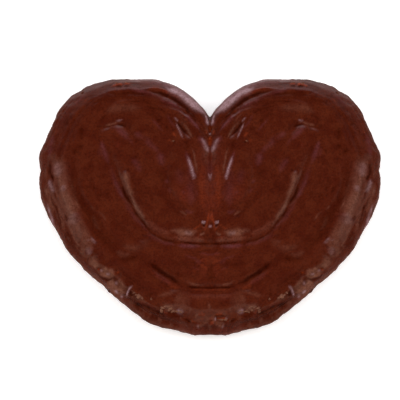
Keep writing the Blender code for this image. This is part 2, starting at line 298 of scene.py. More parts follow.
# The narrow fold and the drag marks between it and the inner fold: painted shade in their creases,
# and painted highlights and a painted cool sheen on their ridges
DRAG_MARKS = (
    Mark("shade", 1.05, 0.52, -0.15, [(12.8, 30.2), (11.2, 28.1), (9.8, 26.2), (8.4, 24.4)], 0.3, True),
    Mark("gleam", 0.62, 0.26, 0.10, [(13.1, 29.5), (12.1, 27.2), (11.1, 25.2), (9.8, 23)]),
    Mark("gleam", 0.42, 0.28, 0.15, [(13.4, 31.6), (12.7, 30.7), (12.2, 29.8)]),
    Mark("painted_highlight", 0.55, 0.40, 0.15, [(11.3, 30.6), (9.9, 28.9), (8.4, 26.7), (7, 24.3), (6.1, 22.8)], 0.3),
    Mark("painted_highlight", 0.20, 0.35, 0.10, [(12.2, 33.2), (10.2, 31), (8.5, 28.4)]),
    Mark("shade", 0.45, 0.90, -0.10, [(9.4, 23), (8.6, 20.6), (8.4, 18.6)]),
    Mark("painted_cool_sheen", 0.42, 0.90, 0.12, [(28.4, 26), (26.6, 24), (25, 22.4)]),
    Mark("painted_cool_sheen", 0.42, 0.90, 0.12, [(25, 25), (23.4, 22), (21.8, 20.2), (20, 18.4), (18.4, 16.8)]),
    Mark("painted_cool_sheen", 0.50, 1.20, 0.15, [(19, 18.4), (18.5, 15.5), (17.4, 12)]),
    Mark("painted_cool_sheen", 0.42, 1.00, 0.12, [(29.2, 15.8), (27.4, 12.8), (25.9, 9.4)]),
    Mark("painted_cool_sheen", 0.35, 0.40, 0.08, [(30.8, 24), (29.6, 21.6), (28.5, 19.8)]),
    Mark("painted_cool_sheen", 0.60, 0.95, 0.15, [(36.4, 28.0), (34.2, 26.5), (32.2, 24.6), (30.7, 22.4)]),
    Mark("shade", 0.75, 0.40, -0.15, [(35.6, 28.7), (34, 28.6), (32.6, 28.3), (31.2, 27.5)]),
    Mark("shade", 0.40, 0.70, 0.00, [(33.6, 30.2), (31.2, 28.8), (29.4, 26.4)]),
    Mark("painted_highlight", 0.40, 0.40, 0.12, [(40, 28), (38, 28.7), (36, 29.2), (34.6, 30)]),
    Mark("gleam", 0.34, 0.34, 0.10, [(35.4, 29.6), (34.2, 30.3), (33.2, 30.7)]),
    Mark("shade", 0.55, 0.26, -0.12, [(38.4, 32.6), (40.1, 31.6), (41.2, 30.4), (41.6, 29), (41.2, 28.4)]),
    Mark("shade", 0.35, 0.30, 0.00, [(41, 28), (38.6, 28), (36.6, 28.3)]),
    Mark("red", 0.40, 0.70, 0.00, [(35.5, 22.2), (34.1, 19)]),
)

# The layers that show through round the top of each lobe, drawn as bands of painted shade and a
# painted cool sheen, with a faint painted highlight, a redder band and a little bare pastry
LOBE_MARKS = (
    Mark("painted_cool_sheen", 0.50, 0.90, 0.05, [(31.5, 43), (26, 42.1), (21, 40.2), (16.5, 38)]),
    Mark("painted_cool_sheen", 0.68, 0.95, 0.08, [(20.4, 39.9), (15, 37.2), (12, 34.9), (9.8, 32.3)]),
    Mark("painted_cool_sheen", 0.60, 0.80, 0.08, [(10.4, 33.2), (7.8, 30.9), (5.6, 28.6), (3.6, 26.2)]),
    Mark(
        "shade", 1.10, 0.75, -0.10,
        [(24.4, 42.2), (17.8, 40.9), (12.6, 38.1), (8.8, 34.8), (6.2, 30.9)], 0.15,
    ),
    Mark("shade", 0.50, 0.80, -0.10, [(12.6, 37.4), (11, 35.4), (10, 33.4)]),
    Mark("shade", 0.70, 0.45, -0.08, [(7.6, 34.6), (6.8, 33), (5.9, 31), (5, 28.6)]),
    Mark("red", 0.55, 0.80, 0.10, [(25, 43.8), (20, 43.2), (16, 41.8), (12.5, 39.8), (9.8, 37.6)]),
    Mark("bare", 0.16, 0.60, 0.00, [(23, 43.8), (18, 42.8), (14, 41)]),
    Mark("shade", 0.60, 0.40, -0.08, [(33, 41.4), (28, 41), (24, 40.4), (20.6, 39.2), (17, 37.4)]),
    Mark("shade", 0.50, 0.38, -0.08, [(32.4, 37.6), (27, 37.8), (22.8, 37), (18.4, 35.2)]),
    Mark("shade", 0.50, 0.38, -0.08, [(26, 36), (20.6, 34.9), (17.4, 33.6), (14.6, 31.4)]),
    Mark("shade", 0.40, 0.40, -0.12, [(24.6, 33.1), (21.6, 32), (19.4, 30.2)]),
    Mark("shade", 0.45, 0.55, -0.15, [(20.6, 31.2), (18.3, 29.2)]),
    Mark("shade", 0.45, 0.70, -0.15, [(17.4, 27.5), (15.4, 26.5)]),
    Mark("painted_cool_sheen", 0.35, 0.32, 0.10, [(22.2, 31), (19.6, 28.1), (17.5, 25.6)]),
    Mark("painted_cool_sheen", 0.30, 0.40, 0.08, [(16.4, 33), (14.4, 29.4), (12.6, 26.6)]),
    Mark("bare", 0.60, 0.45, 0.10, [(14.6, 25.6), (12.8, 23.6)]),
    Mark("painted_highlight", 0.60, 0.26, 0.10, [(14.8, 21.9), (13.3, 22)]),
    Mark("shade", 0.60, 0.45, -0.15, [(13.6, 22), (12.7, 20.8)]),
    Mark("bare", 0.40, 0.50, 0.00, [(16.2, 22.8), (14.8, 21.7)]),
    Mark("shade", 0.45, 0.32, -0.12, [(46.2, 35.8), (43.6, 37.3), (40.4, 38.4), (37.8, 39.3)]),
    Mark("shade", 0.35, 0.40, -0.10, [(47.6, 38.8), (45, 40.2), (41.8, 40.6)]),
    Mark("bare", 0.30, 0.40, 0.00, [(48.2, 37.7), (46.3, 39.6)]),
    Mark("shade", 0.45, 0.40, -0.12, [(38.8, 41), (35.8, 41)]),
    Mark("shade", 0.45, 0.40, -0.10, [(28, 43.6), (25.6, 43.4)]),
    Mark("painted_highlight", 0.24, 1.50, 0.10, [(40, 32.8), (36, 34.8), (31, 35.2), (25.5, 35)]),
    Mark("shade", 0.45, 0.80, -0.10, [(48.1, 28.4), (48.6, 25.5), (48.4, 22.4)]),
    Mark("bare", 0.50, 0.32, 0.10, [(58.6, 27.6), (58.9, 25.6)]),
    Mark("painted_cool_sheen", 0.45, 0.90, 0.05, [(59.6, 26.4), (60.6, 21), (61, 16)]),
    Mark("painted_cool_sheen", 0.40, 0.50, 0.10, [(52.4, 36.4), (49.8, 39.2), (46.8, 41.6)]),
    Mark("shade", 0.35, 1.20, 0.00, [(56.5, 25), (53.5, 31.5), (49, 37.4), (44, 41), (38, 43)]),
)

# The rim behind: a painted highlight, a pale band over each lobe that widens towards the notch,
# with two thin flakes and painted shade under them and along the rim
RIM_MARKS = (
    Mark("painted_highlight", 0.35, 1.00, 0.10, [(41, 45.2), (36, 47), (30, 48), (22, 47.8), (16, 46)]),
    Mark("gleam", 0.45, 1.30, 0.00, [(34, 48.4), (27, 48.8), (20, 47.8), (15, 45.8)]),
    Mark(
        "gleam", 0.60, 1.60, 0.20,
        [(18.6, 46.8), (13.8, 45), (10.2, 42.6), (7, 39.8), (4, 36.4), (1, 33)], 0.12,
    ),
    Mark(
        "gleam", 1.15, 1.30, 0.10,
        [(17.4, 44.4), (12.1, 41.7), (8.7, 39), (6, 36.6), (3.4, 34.6), (1.2, 33)], 0.2,
    ),
    Mark("gleam", 0.50, 1.60, 0.00, [(14, 45), (9.6, 42.4), (5.6, 39), (3, 36)], 0.25),
    Mark("painted_cool_sheen", 0.60, 0.70, 0.10, [(24, 46.4), (19, 45.6), (15, 44)]),
    Mark("bare", 1.00, 0.50, 0.30, [(37.4, 44.2), (36, 45), (34.4, 45.4), (33.2, 45)], 0.15, True),
    Mark("shade", 1.40, 0.42, -0.20, [(36, 44), (34.8, 44.3), (33.4, 44.2)], 0.2),
    Mark("bare", 0.90, 0.42, 0.25, [(33, 45.3), (31.8, 45.7), (30.2, 45.3)], 0.15, True),
    Mark("shade", 1.30, 0.36, -0.20, [(32.6, 44.5), (30.8, 44.6)], 0.2),
    Mark("shade", 0.60, 0.40, -0.10, [(44, 42.8), (40, 44.4), (36.5, 44.6), (30, 45.4), (24, 45.4)]),
)

# The shoulder's broad painted highlight, and the steps along its edge in painted shade with
# painted highlights on them
SHOULDER_MARKS = (
    Mark("painted_highlight", 0.60, 2.40, 0.12, [(57.3, 16.5), (56.8, 11), (55.4, 5.5), (54, 0.8)], 0.2),
    Mark("painted_cool_sheen", 0.20, 2.00, 0.00, [(57, 15), (56.4, 10), (54.6, 3)], 0.2),
    Mark("painted_highlight", 0.62, 2.40, 0.10, [(55, 4.4), (53.6, 0), (52.1, -4), (50.6, -7.4)], 0.15),
    Mark(
        "painted_highlight", 0.36, 2.60, 0.10,
        [(51.2, -5.6), (49.3, -9.8), (47.2, -14), (45, -18), (43.4, -21)], 0.2, True,
    ),
    Mark("gleam", 0.25, 1.00, 0.15, [(55.4, 4.8), (54.5, 2.4)]),
    Mark("gleam", 0.35, 0.65, 0.15, [(60.8, 8), (60, 5), (59, 3.4), (57.8, 2.6)]),
    Mark("gleam", 0.18, 1.30, 0.10, [(58.1, 14.6), (57.4, 11.4), (56.6, 8)]),
    Mark("gleam", 0.14, 1.80, 0.10, [(51.1, -5.4), (49.7, -10.4)]),
    Mark("gleam", 0.35, 0.32, 0.10, [(44, -14.8), (43, -16.3), (41.5, -17.8)]),
    Mark("gleam", 0.25, 0.28, 0.05, [(44.4, -16.6), (45.2, -15.6)]),
    Mark("gleam", 0.18, 1.20, 0.15, [(45.3, -18.6), (43.9, -21)]),
    Mark("painted_highlight", 0.40, 0.36, 0.10, [(54, 9.9), (51.9, 5.8), (50.5, 1), (49, -3.5), (47.7, -6.8)]),
    Mark("shade", 0.80, 0.62, -0.30, [(60.7, 15.4), (60.5, 12), (59.9, 9.2), (58.4, 6.2)]),
    Mark("shade", 0.65, 0.50, -0.20, [(54.3, -5.4), (53.1, -8.6)]),
    Mark("shade", 0.45, 0.90, -0.15, [(53.5, -10.6), (51.9, -14.8), (49.7, -18.2), (46.8, -21.4)]),
    Mark("painted_highlight", 0.45, 0.60, 0.10, [(56.8, -3), (55.8, -7), (54.6, -10), (53.6, -12.2)]),
    Mark("painted_highlight", 0.45, 0.32, 0.10, [(52.9, -6.8), (52.1, -10), (50.9, -13.2), (49.3, -16.4), (47, -19.4)]),
    Mark("painted_highlight", 0.40, 0.32, 0.10, [(50.5, -16.8), (48.6, -19), (46.7, -20.9)]),
    Mark("shade", 0.35, 0.60, -0.10, [(45.1, -2.4), (44, -7), (43.4, -11), (41.6, -14.6)]),
    Mark("painted_highlight", 0.20, 0.60, 0.10, [(43.5, -6.2), (42.4, -10), (40.7, -12.8)]),
    Mark("painted_highlight", 0.30, 0.22, 0.05, [(44.3, -3.2), (42.7, -4.9)]),
    Mark("painted_highlight", 0.30, 0.22, 0.05, [(41.3, -5.2), (39.8, -7.2), (38.7, -8.8)]),
    Mark("painted_highlight", 0.15, 0.70, 0.10, [(62.2, 15), (62.1, 11.4), (61.5, 8)]),
    Mark("painted_highlight", 0.45, 1.30, 0.00, [(61.8, 7.4), (61.2, 3), (60, -1.6), (58.4, -6)]),
    Mark(
        "shade", 0.60, 0.42, -0.20,
        [(60.2, 2.4), (59.2, -1.3), (57.7, -2.9), (56.8, -5.8), (55.8, -8.8), (54.6, -12.2)],
    ),
    Mark("shade", 1.20, 0.30, -0.10, [(62.4, -0.4), (61.4, -3.6), (60, -7), (58.4, -10.2)]),
    Mark("gleam", 0.80, 0.34, 0.20, [(61.4, -0.6), (60.2, -3.6), (59, -6.8), (57.6, -10)]),
    Mark("gleam", 0.60, 0.35, 0.20, [(56.4, -12.4), (55.2, -15.2)]),
    Mark("painted_highlight", 0.60, 1.20, 0.20, [(45.2, -22.4), (42.8, -24.2), (40.6, -25.4)]),
)

# The two flakes under the coating with painted highlights on them, and the steps between them and
# round them in painted shade
FLAKE_MARKS = (
    Mark("painted_highlight", 1.05, 1.65, 0.30, [(40.4, -26.6), (38, -28), (35.2, -28.9)], 0.2, True),
    Mark("gleam", 0.60, 0.45, 0.20, [(38.4, -28), (37, -28.8)], 0.3),
    Mark("gleam", 0.45, 0.30, 0.10, [(40.6, -26.4), (39.6, -27.2)], 0.3),
    Mark("shade", 0.85, 0.36, -0.25, [(41.6, -27.4), (39.8, -29.3), (37, -30.3), (35.2, -29.9)]),
    Mark("shade", 0.80, 0.32, -0.20, [(35.6, -26.6), (34.4, -27.6), (33.4, -28.8), (34.2, -29.6)]),
    Mark("bare", 0.80, 0.36, 0.10, [(41.4, -26.2), (40.8, -26.6)]),
    Mark("bare", 0.80, 0.40, 0.20, [(34.4, -28), (33.4, -28.3)]),
    Mark("painted_highlight", 0.62, 1.75, 0.30, [(38.4, -30.8), (35.8, -32.6), (33.8, -35.2), (32.8, -36.6)], 0.12, True),
    Mark("painted_highlight", 0.62, 1.40, 0.20, [(34.6, -31), (32.8, -32.8), (31.4, -35.4)], 0.12, True),
    Mark("gleam", 0.35, 0.45, 0.10, [(35, -31.2), (34, -32.2)]),
    Mark("gleam", 0.75, 0.36, 0.15, [(34.9, -33.8), (34, -35)]),
    Mark("gleam", 0.45, 0.50, 0.10, [(33.2, -35.6), (32.3, -36.4)]),
    Mark("shade", 0.40, 0.40, -0.15, [(33.2, -31.4), (32.4, -32.6)]),
    Mark("shade", 0.50, 0.40, -0.10, [(40.6, -30.6), (37.6, -33.6), (35.8, -36), (33.8, -38.2)]),
    Mark("gleam", 1.00, 0.34, 0.35, [(30.8, -36.4), (30, -34.8), (28.4, -33.1)], 0.2, True),
    Mark("shade", 0.95, 0.45, -0.20, [(29.2, -34.9), (29, -36), (28.4, -36.8)], 0.2),
)

# The soft step beside the lower fold with a painted highlight and painted shade below it, the fold's
# crevice in painted shade, and smears of painted cool sheen, painted highlight, red and bare pastry
# on both sides of it
LOWER_MARKS = (
    Mark("painted_highlight", 0.20, 2.60, 0.05, [(13.4, -38), (10, -39), (6.6, -39.2)], 0.2),
    Mark("painted_highlight", 0.18, 1.30, 0.25, [(33.4, -18.3), (28.8, -19.3), (25.2, -18), (21, -15.4)]),
    Mark("painted_highlight", 0.26, 1.00, 0.20, [(35, -20.7), (31.8, -21.5), (29.2, -21.3)]),
    Mark("shade", 0.40, 1.40, -0.20, [(34.6, -23.4), (30, -23.2), (25.4, -22.2)]),
    Mark("painted_cool_sheen", 0.35, 0.36, 0.10, [(9.8, -21.5), (6.4, -22.9), (3.4, -23.7)]),
    Mark("painted_cool_sheen", 0.30, 0.32, 0.10, [(4.4, -20.9), (1.6, -21.6), (-1, -21.6)]),
    Mark("painted_cool_sheen", 0.35, 0.80, 0.10, [(5.4, -23.6), (3.4, -25.2)]),
    Mark("painted_cool_sheen", 0.30, 0.32, 0.08, [(7.4, -26.3), (3.6, -27.3)]),
    Mark("shade", 0.40, 0.26, -0.10, [(9.4, -19.9), (5, -20.6), (0.6, -20.3)]),
    Mark("shade", 0.40, 0.26, -0.10, [(8.4, -24.1), (4, -25), (0.6, -24.4)]),
    Mark("shade", 0.35, 0.30, -0.10, [(6.4, -21.9), (2, -22.7)]),
    Mark("red", 0.35, 1.20, 0.00, [(3, -20), (2.4, -26), (2, -31)]),
    Mark("shade", 0.25, 1.30, -0.10, [(0.6, -26), (0.4, -32)]),
    Mark("shade", 1.10, 0.80, -0.12, [(23.4, -23.8), (19.4, -27), (16, -29.3), (12.8, -31.2), (9.4, -32.8)]),
    Mark("shade", 0.90, 0.42, -0.05, [(10.4, -32.4), (6.6, -33.7), (3, -34), (-4, -34)]),
    Mark("painted_highlight", 0.16, 0.36, 0.10, [(18.8, -26.4), (15.4, -28.8), (11.8, -30.7)]),
    Mark("painted_cool_sheen", 0.22, 0.80, 0.05, [(21, -28.4), (17, -31), (14, -32.8)]),
    Mark("red", 0.35, 0.50, 0.05, [(23.6, -26.4), (18.6, -30), (14.4, -32.6), (10.8, -34.3)]),
    Mark("painted_highlight", 0.35, 0.30, 0.05, [(9, -31.5), (6.4, -32.7), (3.6, -32.7)]),
    Mark("bare", 0.35, 0.30, 0.05, [(8.4, -34.8), (4, -34.8), (-4, -34.8)]),
    Mark("painted_highlight", 0.22, 0.62, 0.15, [(19.8, -37.3), (14.6, -36), (9.6, -34.7)]),
    Mark("red", 0.50, 1.00, 0.10, [(9.4, -36.7), (5, -37.6), (0, -37.3), (-4, -37.3)]),
    Mark("painted_highlight", 0.20, 0.60, 0.10, [(9.4, -36.7), (5, -37.6), (0, -37.3), (-4, -37.3)]),
    Mark("painted_highlight", 0.30, 0.72, 0.15, [(10.8, -39.2), (7.8, -38.9)]),
    Mark("bare", 0.25, 0.60, 0.00, [(15, -33.3), (11.4, -34.3)]),
    Mark("painted_highlight", 0.35, 1.00, 0.10, [(0, -40.2), (-1, -40.6)], both=False),
    Mark("painted_highlight", 0.28, 0.80, 0.05, [(7.9, -41.6), (6.8, -42)]),
)

# The near edge: the groove under the top layer in painted shade, and the curled layers at the heart's
# tip with painted highlights, redder coating and bare pastry
NEAR_EDGE_MARKS = (
    Mark("shade", 0.55, 0.85, -0.30, [(30.4, -37.8), (26, -39.9), (23, -41.2), (18, -43.5), (14.2, -44.6)]),
    Mark(
        "shade", 1.20, 0.45, -0.10,
        [(29.4, -38), (26, -39.6), (22.4, -41.2), (18, -43.2), (15.6, -43.6)], 0.2,
    ),
    Mark("shade", 0.36, 2.60, 0.00, [(33, -37.6), (27, -41.3), (22, -43.6), (18, -45.2), (11, -47.4)], 0.15),
    Mark("red", 0.40, 0.80, 0.15, [(26.8, -38), (23, -39.6), (19.6, -41)]),
    Mark("red", 0.80, 0.70, 0.35, [(17.2, -42.9), (15.6, -43.1)]),
    Mark("gleam", 0.40, 0.75, 0.20, [(12.6, -42.1), (11.2, -42.6), (9.6, -42.9)], 0.3),
    Mark("painted_highlight", 0.50, 1.00, 0.10, [(17.8, -42), (16.8, -41), (15, -41.2), (13.4, -42.4)]),
    Mark("shade", 0.80, 0.42, -0.25, [(9.6, -45), (8.2, -45.6), (6.8, -46)]),
    Mark("bare", 0.50, 0.36, 0.10, [(6.6, -45.4), (6.1, -45.8)]),
    Mark("painted_highlight", 0.50, 0.50, 0.15, [(5.8, -44.6), (5, -44), (4.2, -43.7)]),
    Mark("bare", 0.90, 0.42, 0.15, [(4.6, -43.8), (3.4, -43.6), (2.2, -43.9)], 0.2),
    Mark("painted_highlight", 0.55, 0.50, 0.20, [(5, -47.5), (3.4, -47), (1.6, -46), (0.4, -45.4)], 0.2),
    Mark("painted_highlight", 0.40, 0.36, 0.10, [(0.4, -45.4), (1.4, -44.6), (2.4, -43.6)]),
    Mark("gleam", 0.30, 0.60, 0.10, [(4.7, -47.4), (3.9, -47.2)]),
    Mark("painted_highlight", 0.55, 0.80, 0.10, [(0.6, -47.4), (-0.8, -47.6)], both=False),
    Mark("red", 0.60, 0.80, 0.10, [(7, -48), (4, -48.4), (1.6, -48)]),
    Mark("bare", 0.30, 0.45, 0.10, [(6.3, -47.6), (5.6, -48)]),
)

# The crack at the heart's tip, on one side only, where the baked layers show, with painted shade in
# it and painted highlights on its edges
CRACK_MARKS = (
    Mark(
        "shade", 1.00, 0.36, -0.45,
        [(1.3, -44.2), (3, -44.6), (4.8, -44.5), (6.2, -44.6)], 0.15, True, False,
    ),
    Mark("bare", 1.00, 0.50, 0.20, [(2.4, -45.1), (3.6, -45.3), (4.8, -45.3), (6, -45)], 0.15, True, False),
    Mark("gleam", 1.00, 0.48, 0.30, [(1.6, -45), (2.2, -45.1)], 0.2, True, False),
    Mark("gleam", 0.80, 0.34, 0.20, [(5.4, -45.1), (6, -45)], 0.2, True, False),
    Mark("shade", 0.90, 0.30, -0.30, [(2.6, -45.7), (4, -45.9), (5.8, -45.8)], 0.2, False, False),
    Mark("bare", 0.80, 0.70, 0.00, [(0.5, -45.7), (1, -46.8)], 0.2, False, False),
    Mark("red", 0.80, 0.60, 0.10, [(0.2, -44.6), (0.6, -45.4)], 0.2, False, False),
    Mark("painted_highlight", 0.50, 0.80, 0.10, [(1.8, -46.4), (4, -47), (5.2, -47.4)], 0.2, False, False),
)

MARKS = (
    *INNER_FOLD_MARKS,
    *PIT_MARKS,
    *VALLEY_MARKS,
    *EYE_MARKS,
    *DRAG_MARKS,
    *LOBE_MARKS,
    *RIM_MARKS,
    *SHOULDER_MARKS,
    *FLAKE_MARKS,
    *LOWER_MARKS,
    *NEAR_EDGE_MARKS,
    *CRACK_MARKS,
)

# Pores left by burst bubbles: where each one is and its radius
PORES = (
    (54, 29, 0.7), (49.7, 32.5, 0.6), (48.6, 20, 0.9), (50.8, 18, 0.9), (49, 17, 0.5), (43.4, 18.2, 0.45),
    (39, 32.5, 0.4), (34, 36.3, 0.35), (42, 27.8, 0.5), (21.5, 34.2, 0.35), (30, 39, 0.35),
    (27.6, 22.6, 0.45), (36.5, 13.3, 0.4), (46, 3.4, 0.5), (45.4, 2.4, 0.4), (43.1, 3.4, 0.5),
    (41.1, 0.7, 0.6), (40, 1.3, 0.4), (38.1, 1.6, 0.5), (38.4, 0.2, 0.4), (41.5, 8, 0.4), (40, 8.5, 0.4),
    (45, 11.8, 0.4), (48, -0.5, 0.6), (47.4, -1.5, 0.5), (29.1, 8, 0.4), (28.6, 6.6, 0.4),
    (28.3, 3.4, 0.4), (27.6, 2.7, 0.35), (25, -14.2, 0.45), (30.6, 10.9, 0.35), (22.2, -36.5, 0.6),
)
# How deep each pore sinks, and how dark the painted shade in it is
PORE_DEPTH = 0.15
PORE_SHADE = 0.7

# Crumbs of pastry stuck in the coating: where each lies, its half-lengths along and across, how
# far it is turned, in degrees, and whether both halves of the heart have it
Crumb = namedtuple("Crumb", "x y long wide turn both", defaults=(True,))
CRUMBS = (
    Crumb(25.7, -36.4, 1.15, 0.85, -30), Crumb(24.8, -37, 0.60, 0.50, 20),
    Crumb(26.6, -35.9, 0.85, 0.36, 15), Crumb(27.6, -35.3, 0.70, 0.30, -35),
    Crumb(21.4, -38, 0.45, 0.42, 20), Crumb(17.7, -41.7, 0.95, 0.60, 75),
    Crumb(17.2, -40.8, 0.90, 0.60, 20), Crumb(15.9, -40.7, 1.10, 0.55, 0),
    Crumb(14.8, -41.3, 0.90, 0.55, -35), Crumb(13.8, -42.4, 0.60, 0.36, -50),
    Crumb(13, -41.9, 0.80, 0.55, 0), Crumb(11.9, -42.2, 0.70, 0.40, -15),
    Crumb(10.6, -42.7, 0.75, 0.45, 10), Crumb(13.9, 22, 0.40, 0.25, 10),
    Crumb(35.2, 45.4, 1.10, 0.28, 20), Crumb(31.8, 45.8, 0.90, 0.26, 0),
    Crumb(48.4, 42.2, 0.70, 0.30, -40), Crumb(3.6, -45.3, 1.20, 0.34, -5, False),
    Crumb(5.6, -45.1, 0.55, 0.36, 10, False),
)

# A crumb's half-height, its rows of points from pole to pole, the points round each, and how
# uneven its outline and its upper side are
CRUMB_RISE = 0.26
CRUMB_ROWS = 9
CRUMB_COLUMNS = 18
CRUMB_UNEVENNESS = 0.45
CRUMB_HUMPS = 0.6

# Unevenness is made of smooth hills: how high, how long and wide each is, and their seed
Hills = namedtuple("Hills", "height long wide seed")

# The soft unevenness of a dipped pastry and its fine ripples. From one place of the section on,
# the wall has less of it, and from another on none, so that the pastry lies flat.
SOFT_HILLS = (Hills(0.35, 15.0, 15.0, 3), Hills(0.14, 5.0, 5.0, 4))
FINE_HILLS = (Hills(0.05, 1.8, 1.8, 6), Hills(0.03, 0.9, 0.9, 7))
LOWER_WALL = 1.5
LOWER_WALL_SHARE = 0.3
SMOOTH_FROM = 1.9

# The frayed edge: hills that are degrees of turn long and millimetres of height wide, and the
# shares of the reach between which they grow
FRAYED_HILLS = (Hills(0.30, 2.6, 3.0, 16), Hills(0.16, 1.2, 1.6, 17))
FRAYED_REACH = (0.9, 0.98)

# Drag lines. Round the edge they follow it, degrees of turn long and millimetres wide, and towards
# the middle they give way to lines that all run one way. How deep they are, and how much painted
# shade darkens their bottoms from which depth on.
EDGE_DRAG = (Hills(1.0, 24.0, 1.9, 5), Hills(0.5, 13.0, 0.8, 13))
EDGE_DRAG_REACH = (0.35, 0.8)
INNER_DRAG = (Hills(0.6, 9.0, 1.7, 14), Hills(0.3, 6.0, 0.8, 15))
INNER_DRAG_WAY = (-0.58, -0.81)
DRAG_DEPTH = 0.22
DRAG_SHADE = 0.45
DRAG_SHADE_FROM = 0.15

# How much the marks' paths wander, and how uneven their tint is
WANDER_ACROSS = (Hills(0.25, 2.1, 2.1, 8),)
WANDER_UP = (Hills(0.25, 2.1, 2.1, 9),)
UNEVEN_TINT = (Hills(0.45, 2.6, 2.6, 10), Hills(0.315, 1.1, 1.1, 11))

# The thin coating on the rim and the wall is redder, between these places of the section
RIM_RED = 0.5
RIM_RED_BETWEEN = ((0.9, 0.97), (1.7, 2.0))

# Round the sides and the near edge a painted sheen lies over the rim, in patches. Their hills here
# and below are degrees of turn long and a share of the section wide.
RIM_PAINTED_SHEEN = 0.6
RIM_SHEEN_BETWEEN = ((0.94, 0.98), (1.15, 1.4))
RIM_SHEEN_TURNS = (6.0, 14.0)
RIM_SHEEN_PATCHES = (Hills(0.6, 4.5, 1 / 12, 19),)
RIM_SHEEN_PATCH_MEAN = 0.75

# A thin painted highlight runs along the near edge where it is widest, a little of it in the
# brightest highlight colour
NEAR_HIGHLIGHT_WIDTH = 0.03
NEAR_HIGHLIGHT_TURNS = (48.0, 60.0)
NEAR_HIGHLIGHT_PATCHES = (Hills(1.2, 5.0, 0.1, 22),)
NEAR_HIGHLIGHT_MEAN = 0.6
NEAR_HIGHLIGHT_GLEAM = 0.15

# The rough patch below the pit: its middle, its radius, how much baked pastry shows through and
# the flecks in which it does
ROUGH_PATCH = (0.0, -22.5)
ROUGH_RADIUS = 7.5
ROUGH_BARE = 0.5
FLECKS = (Hills(1.0, 1.5, 0.8, 20),)
FLECK_LEVEL = 0.1


# ---- shape ----------------------------------------------------------------------------------


def smooth_step(value, low, high):
    """0 below low, 1 above high, and an S-curve between."""
    share = np.clip((value - low) / (high - low), 0.0, 1.0)
    return share * share * (3.0 - 2.0 * share)


def smooth_max(first, second, rounding):
    """The larger of two lengths, with the corner where they cross rounded off."""
    return (first + second) / 2 + np.sqrt(((first - second) / 2) ** 2 + rounding**2)


def between(value, rise, fall):
    """1 between two S-curves: the one over which it rises and the one over which it falls."""
    return smooth_step(value, *rise) * (1.0 - smooth_step(value, *fall))


def bump(value, middle, spread):
    """1 at the middle, dying away within about twice the spread."""
    return np.exp(-(((value - middle) / spread) ** 2))


def hills(u, v, seed):
    """Smooth random hills from -1 to 1, one for each unit square: random numbers on a lattice,
    blended between its corners with an S-curve."""
    size = 64
    heights = np.random.default_rng(seed).uniform(-1.0, 1.0, (size, size))
    column, row = np.floor(u).astype(int), np.floor(v).astype(int)
    across, up = smooth_step(u - column, 0.0, 1.0), smooth_step(v - row, 0.0, 1.0)
    left, right = column % size, (column + 1) % size
    low, high = row % size, (row + 1) % size
    lower = heights[left, low] * (1.0 - across) + heights[right, low] * across
    upper = heights[left, high] * (1.0 - across) + heights[right, high] * across
    return lower * (1.0 - up) + upper * up


def layered(u, v, layers):
    """Layers of smooth hills on top of each other, each with its own height, length and width."""
    return sum(one.height * hills(u / one.long, v / one.wide, one.seed) for one in layers)


def patchy(u, v, layers, mean):
    """A share from 0 to 1 that comes and goes: layers of smooth hills round a mean."""
    return np.clip(mean + layered(u, v, layers), 0.0, 1.0)


def folded_turn(angle):
    """The direction's turn up from +X or -X, whichever is nearer, in radians."""
    return np.arctan2(np.sin(angle), np.abs(np.cos(angle)))


def reach_of_circle(angle, x, y, radius):
    """From the heart's middle, how far a circle round (x, y) reaches in each direction."""
    along = x * np.cos(angle) + y * np.sin(angle)
    across = x * np.sin(angle) - y * np.cos(angle)
    return along + np.sqrt(radius**2 - across**2)


def outline(angle):
    """The heart's reach: the furthest of two lobes and a base that fades out above the middle,
    with waves and swells."""
    lobe_x, lobe_y = LOBE_CENTRE
    right = reach_of_circle(angle, lobe_x, lobe_y, LOBE_RADIUS)
    left = reach_of_circle(angle, -lobe_x, lobe_y, LOBE_RADIUS)
    lobes = smooth_max(right, left, NOTCH_ROUNDING)
    base = BASE_RADIUS * (1.0 - smooth_step(np.sin(angle), *BASE_FADE))
    heart = smooth_max(lobes, base, FLANK_ROUNDING)
    turn = folded_turn(angle)
    waves = sum(height * np.sin(count * turn + start) for height, count, start in EDGE_WAVES)
    swells = sum(one.out * bump(np.degrees(turn), one.turn, one.spread) for one in SWELLS)
    return heart + waves + swells


def section(place):
    """The section from the top's middle (0) over its widest (1) and its foot (2) to the
    underside's middle (3): reach as a share, height, and how far its face leans from straight up.
    The shoulder and the wall are quarter ellipses."""
    flat = np.clip(place / FLAT_SHARE, 0.0, 1.0)
    over = np.clip((place - FLAT_SHARE) / (1.0 - FLAT_SHARE), 0.0, 1.0) * math.pi / 2
    below = np.clip(place - 1.0, 0.0, 1.0) * math.pi / 2
    under = np.clip(place - 2.0, 0.0, 1.0)
    drop = TOP_HEIGHT - BULGE_HEIGHT
    reach = (
        flat * (1.0 - SHOULDER)
        + SHOULDER * np.sin(over)
        - UNDERCUT * (1.0 - np.cos(below))
        - under * (1.0 - UNDERCUT)
    )
    height = BULGE_HEIGHT + drop * np.cos(over) - BULGE_HEIGHT * np.sin(below)
    shoulder_lean = np.arctan2(drop * np.sin(over), SHOULDER * MEAN_REACH * np.cos(over))
    wall_lean = np.arctan2(UNDERCUT * MEAN_REACH * np.sin(below), BULGE_HEIGHT * np.cos(below))
    lean = np.where(place <= 1.0, shoulder_lean, math.pi / 2 + wall_lean)
    return reach, height, np.where(place >= 2.0, math.pi, lean)


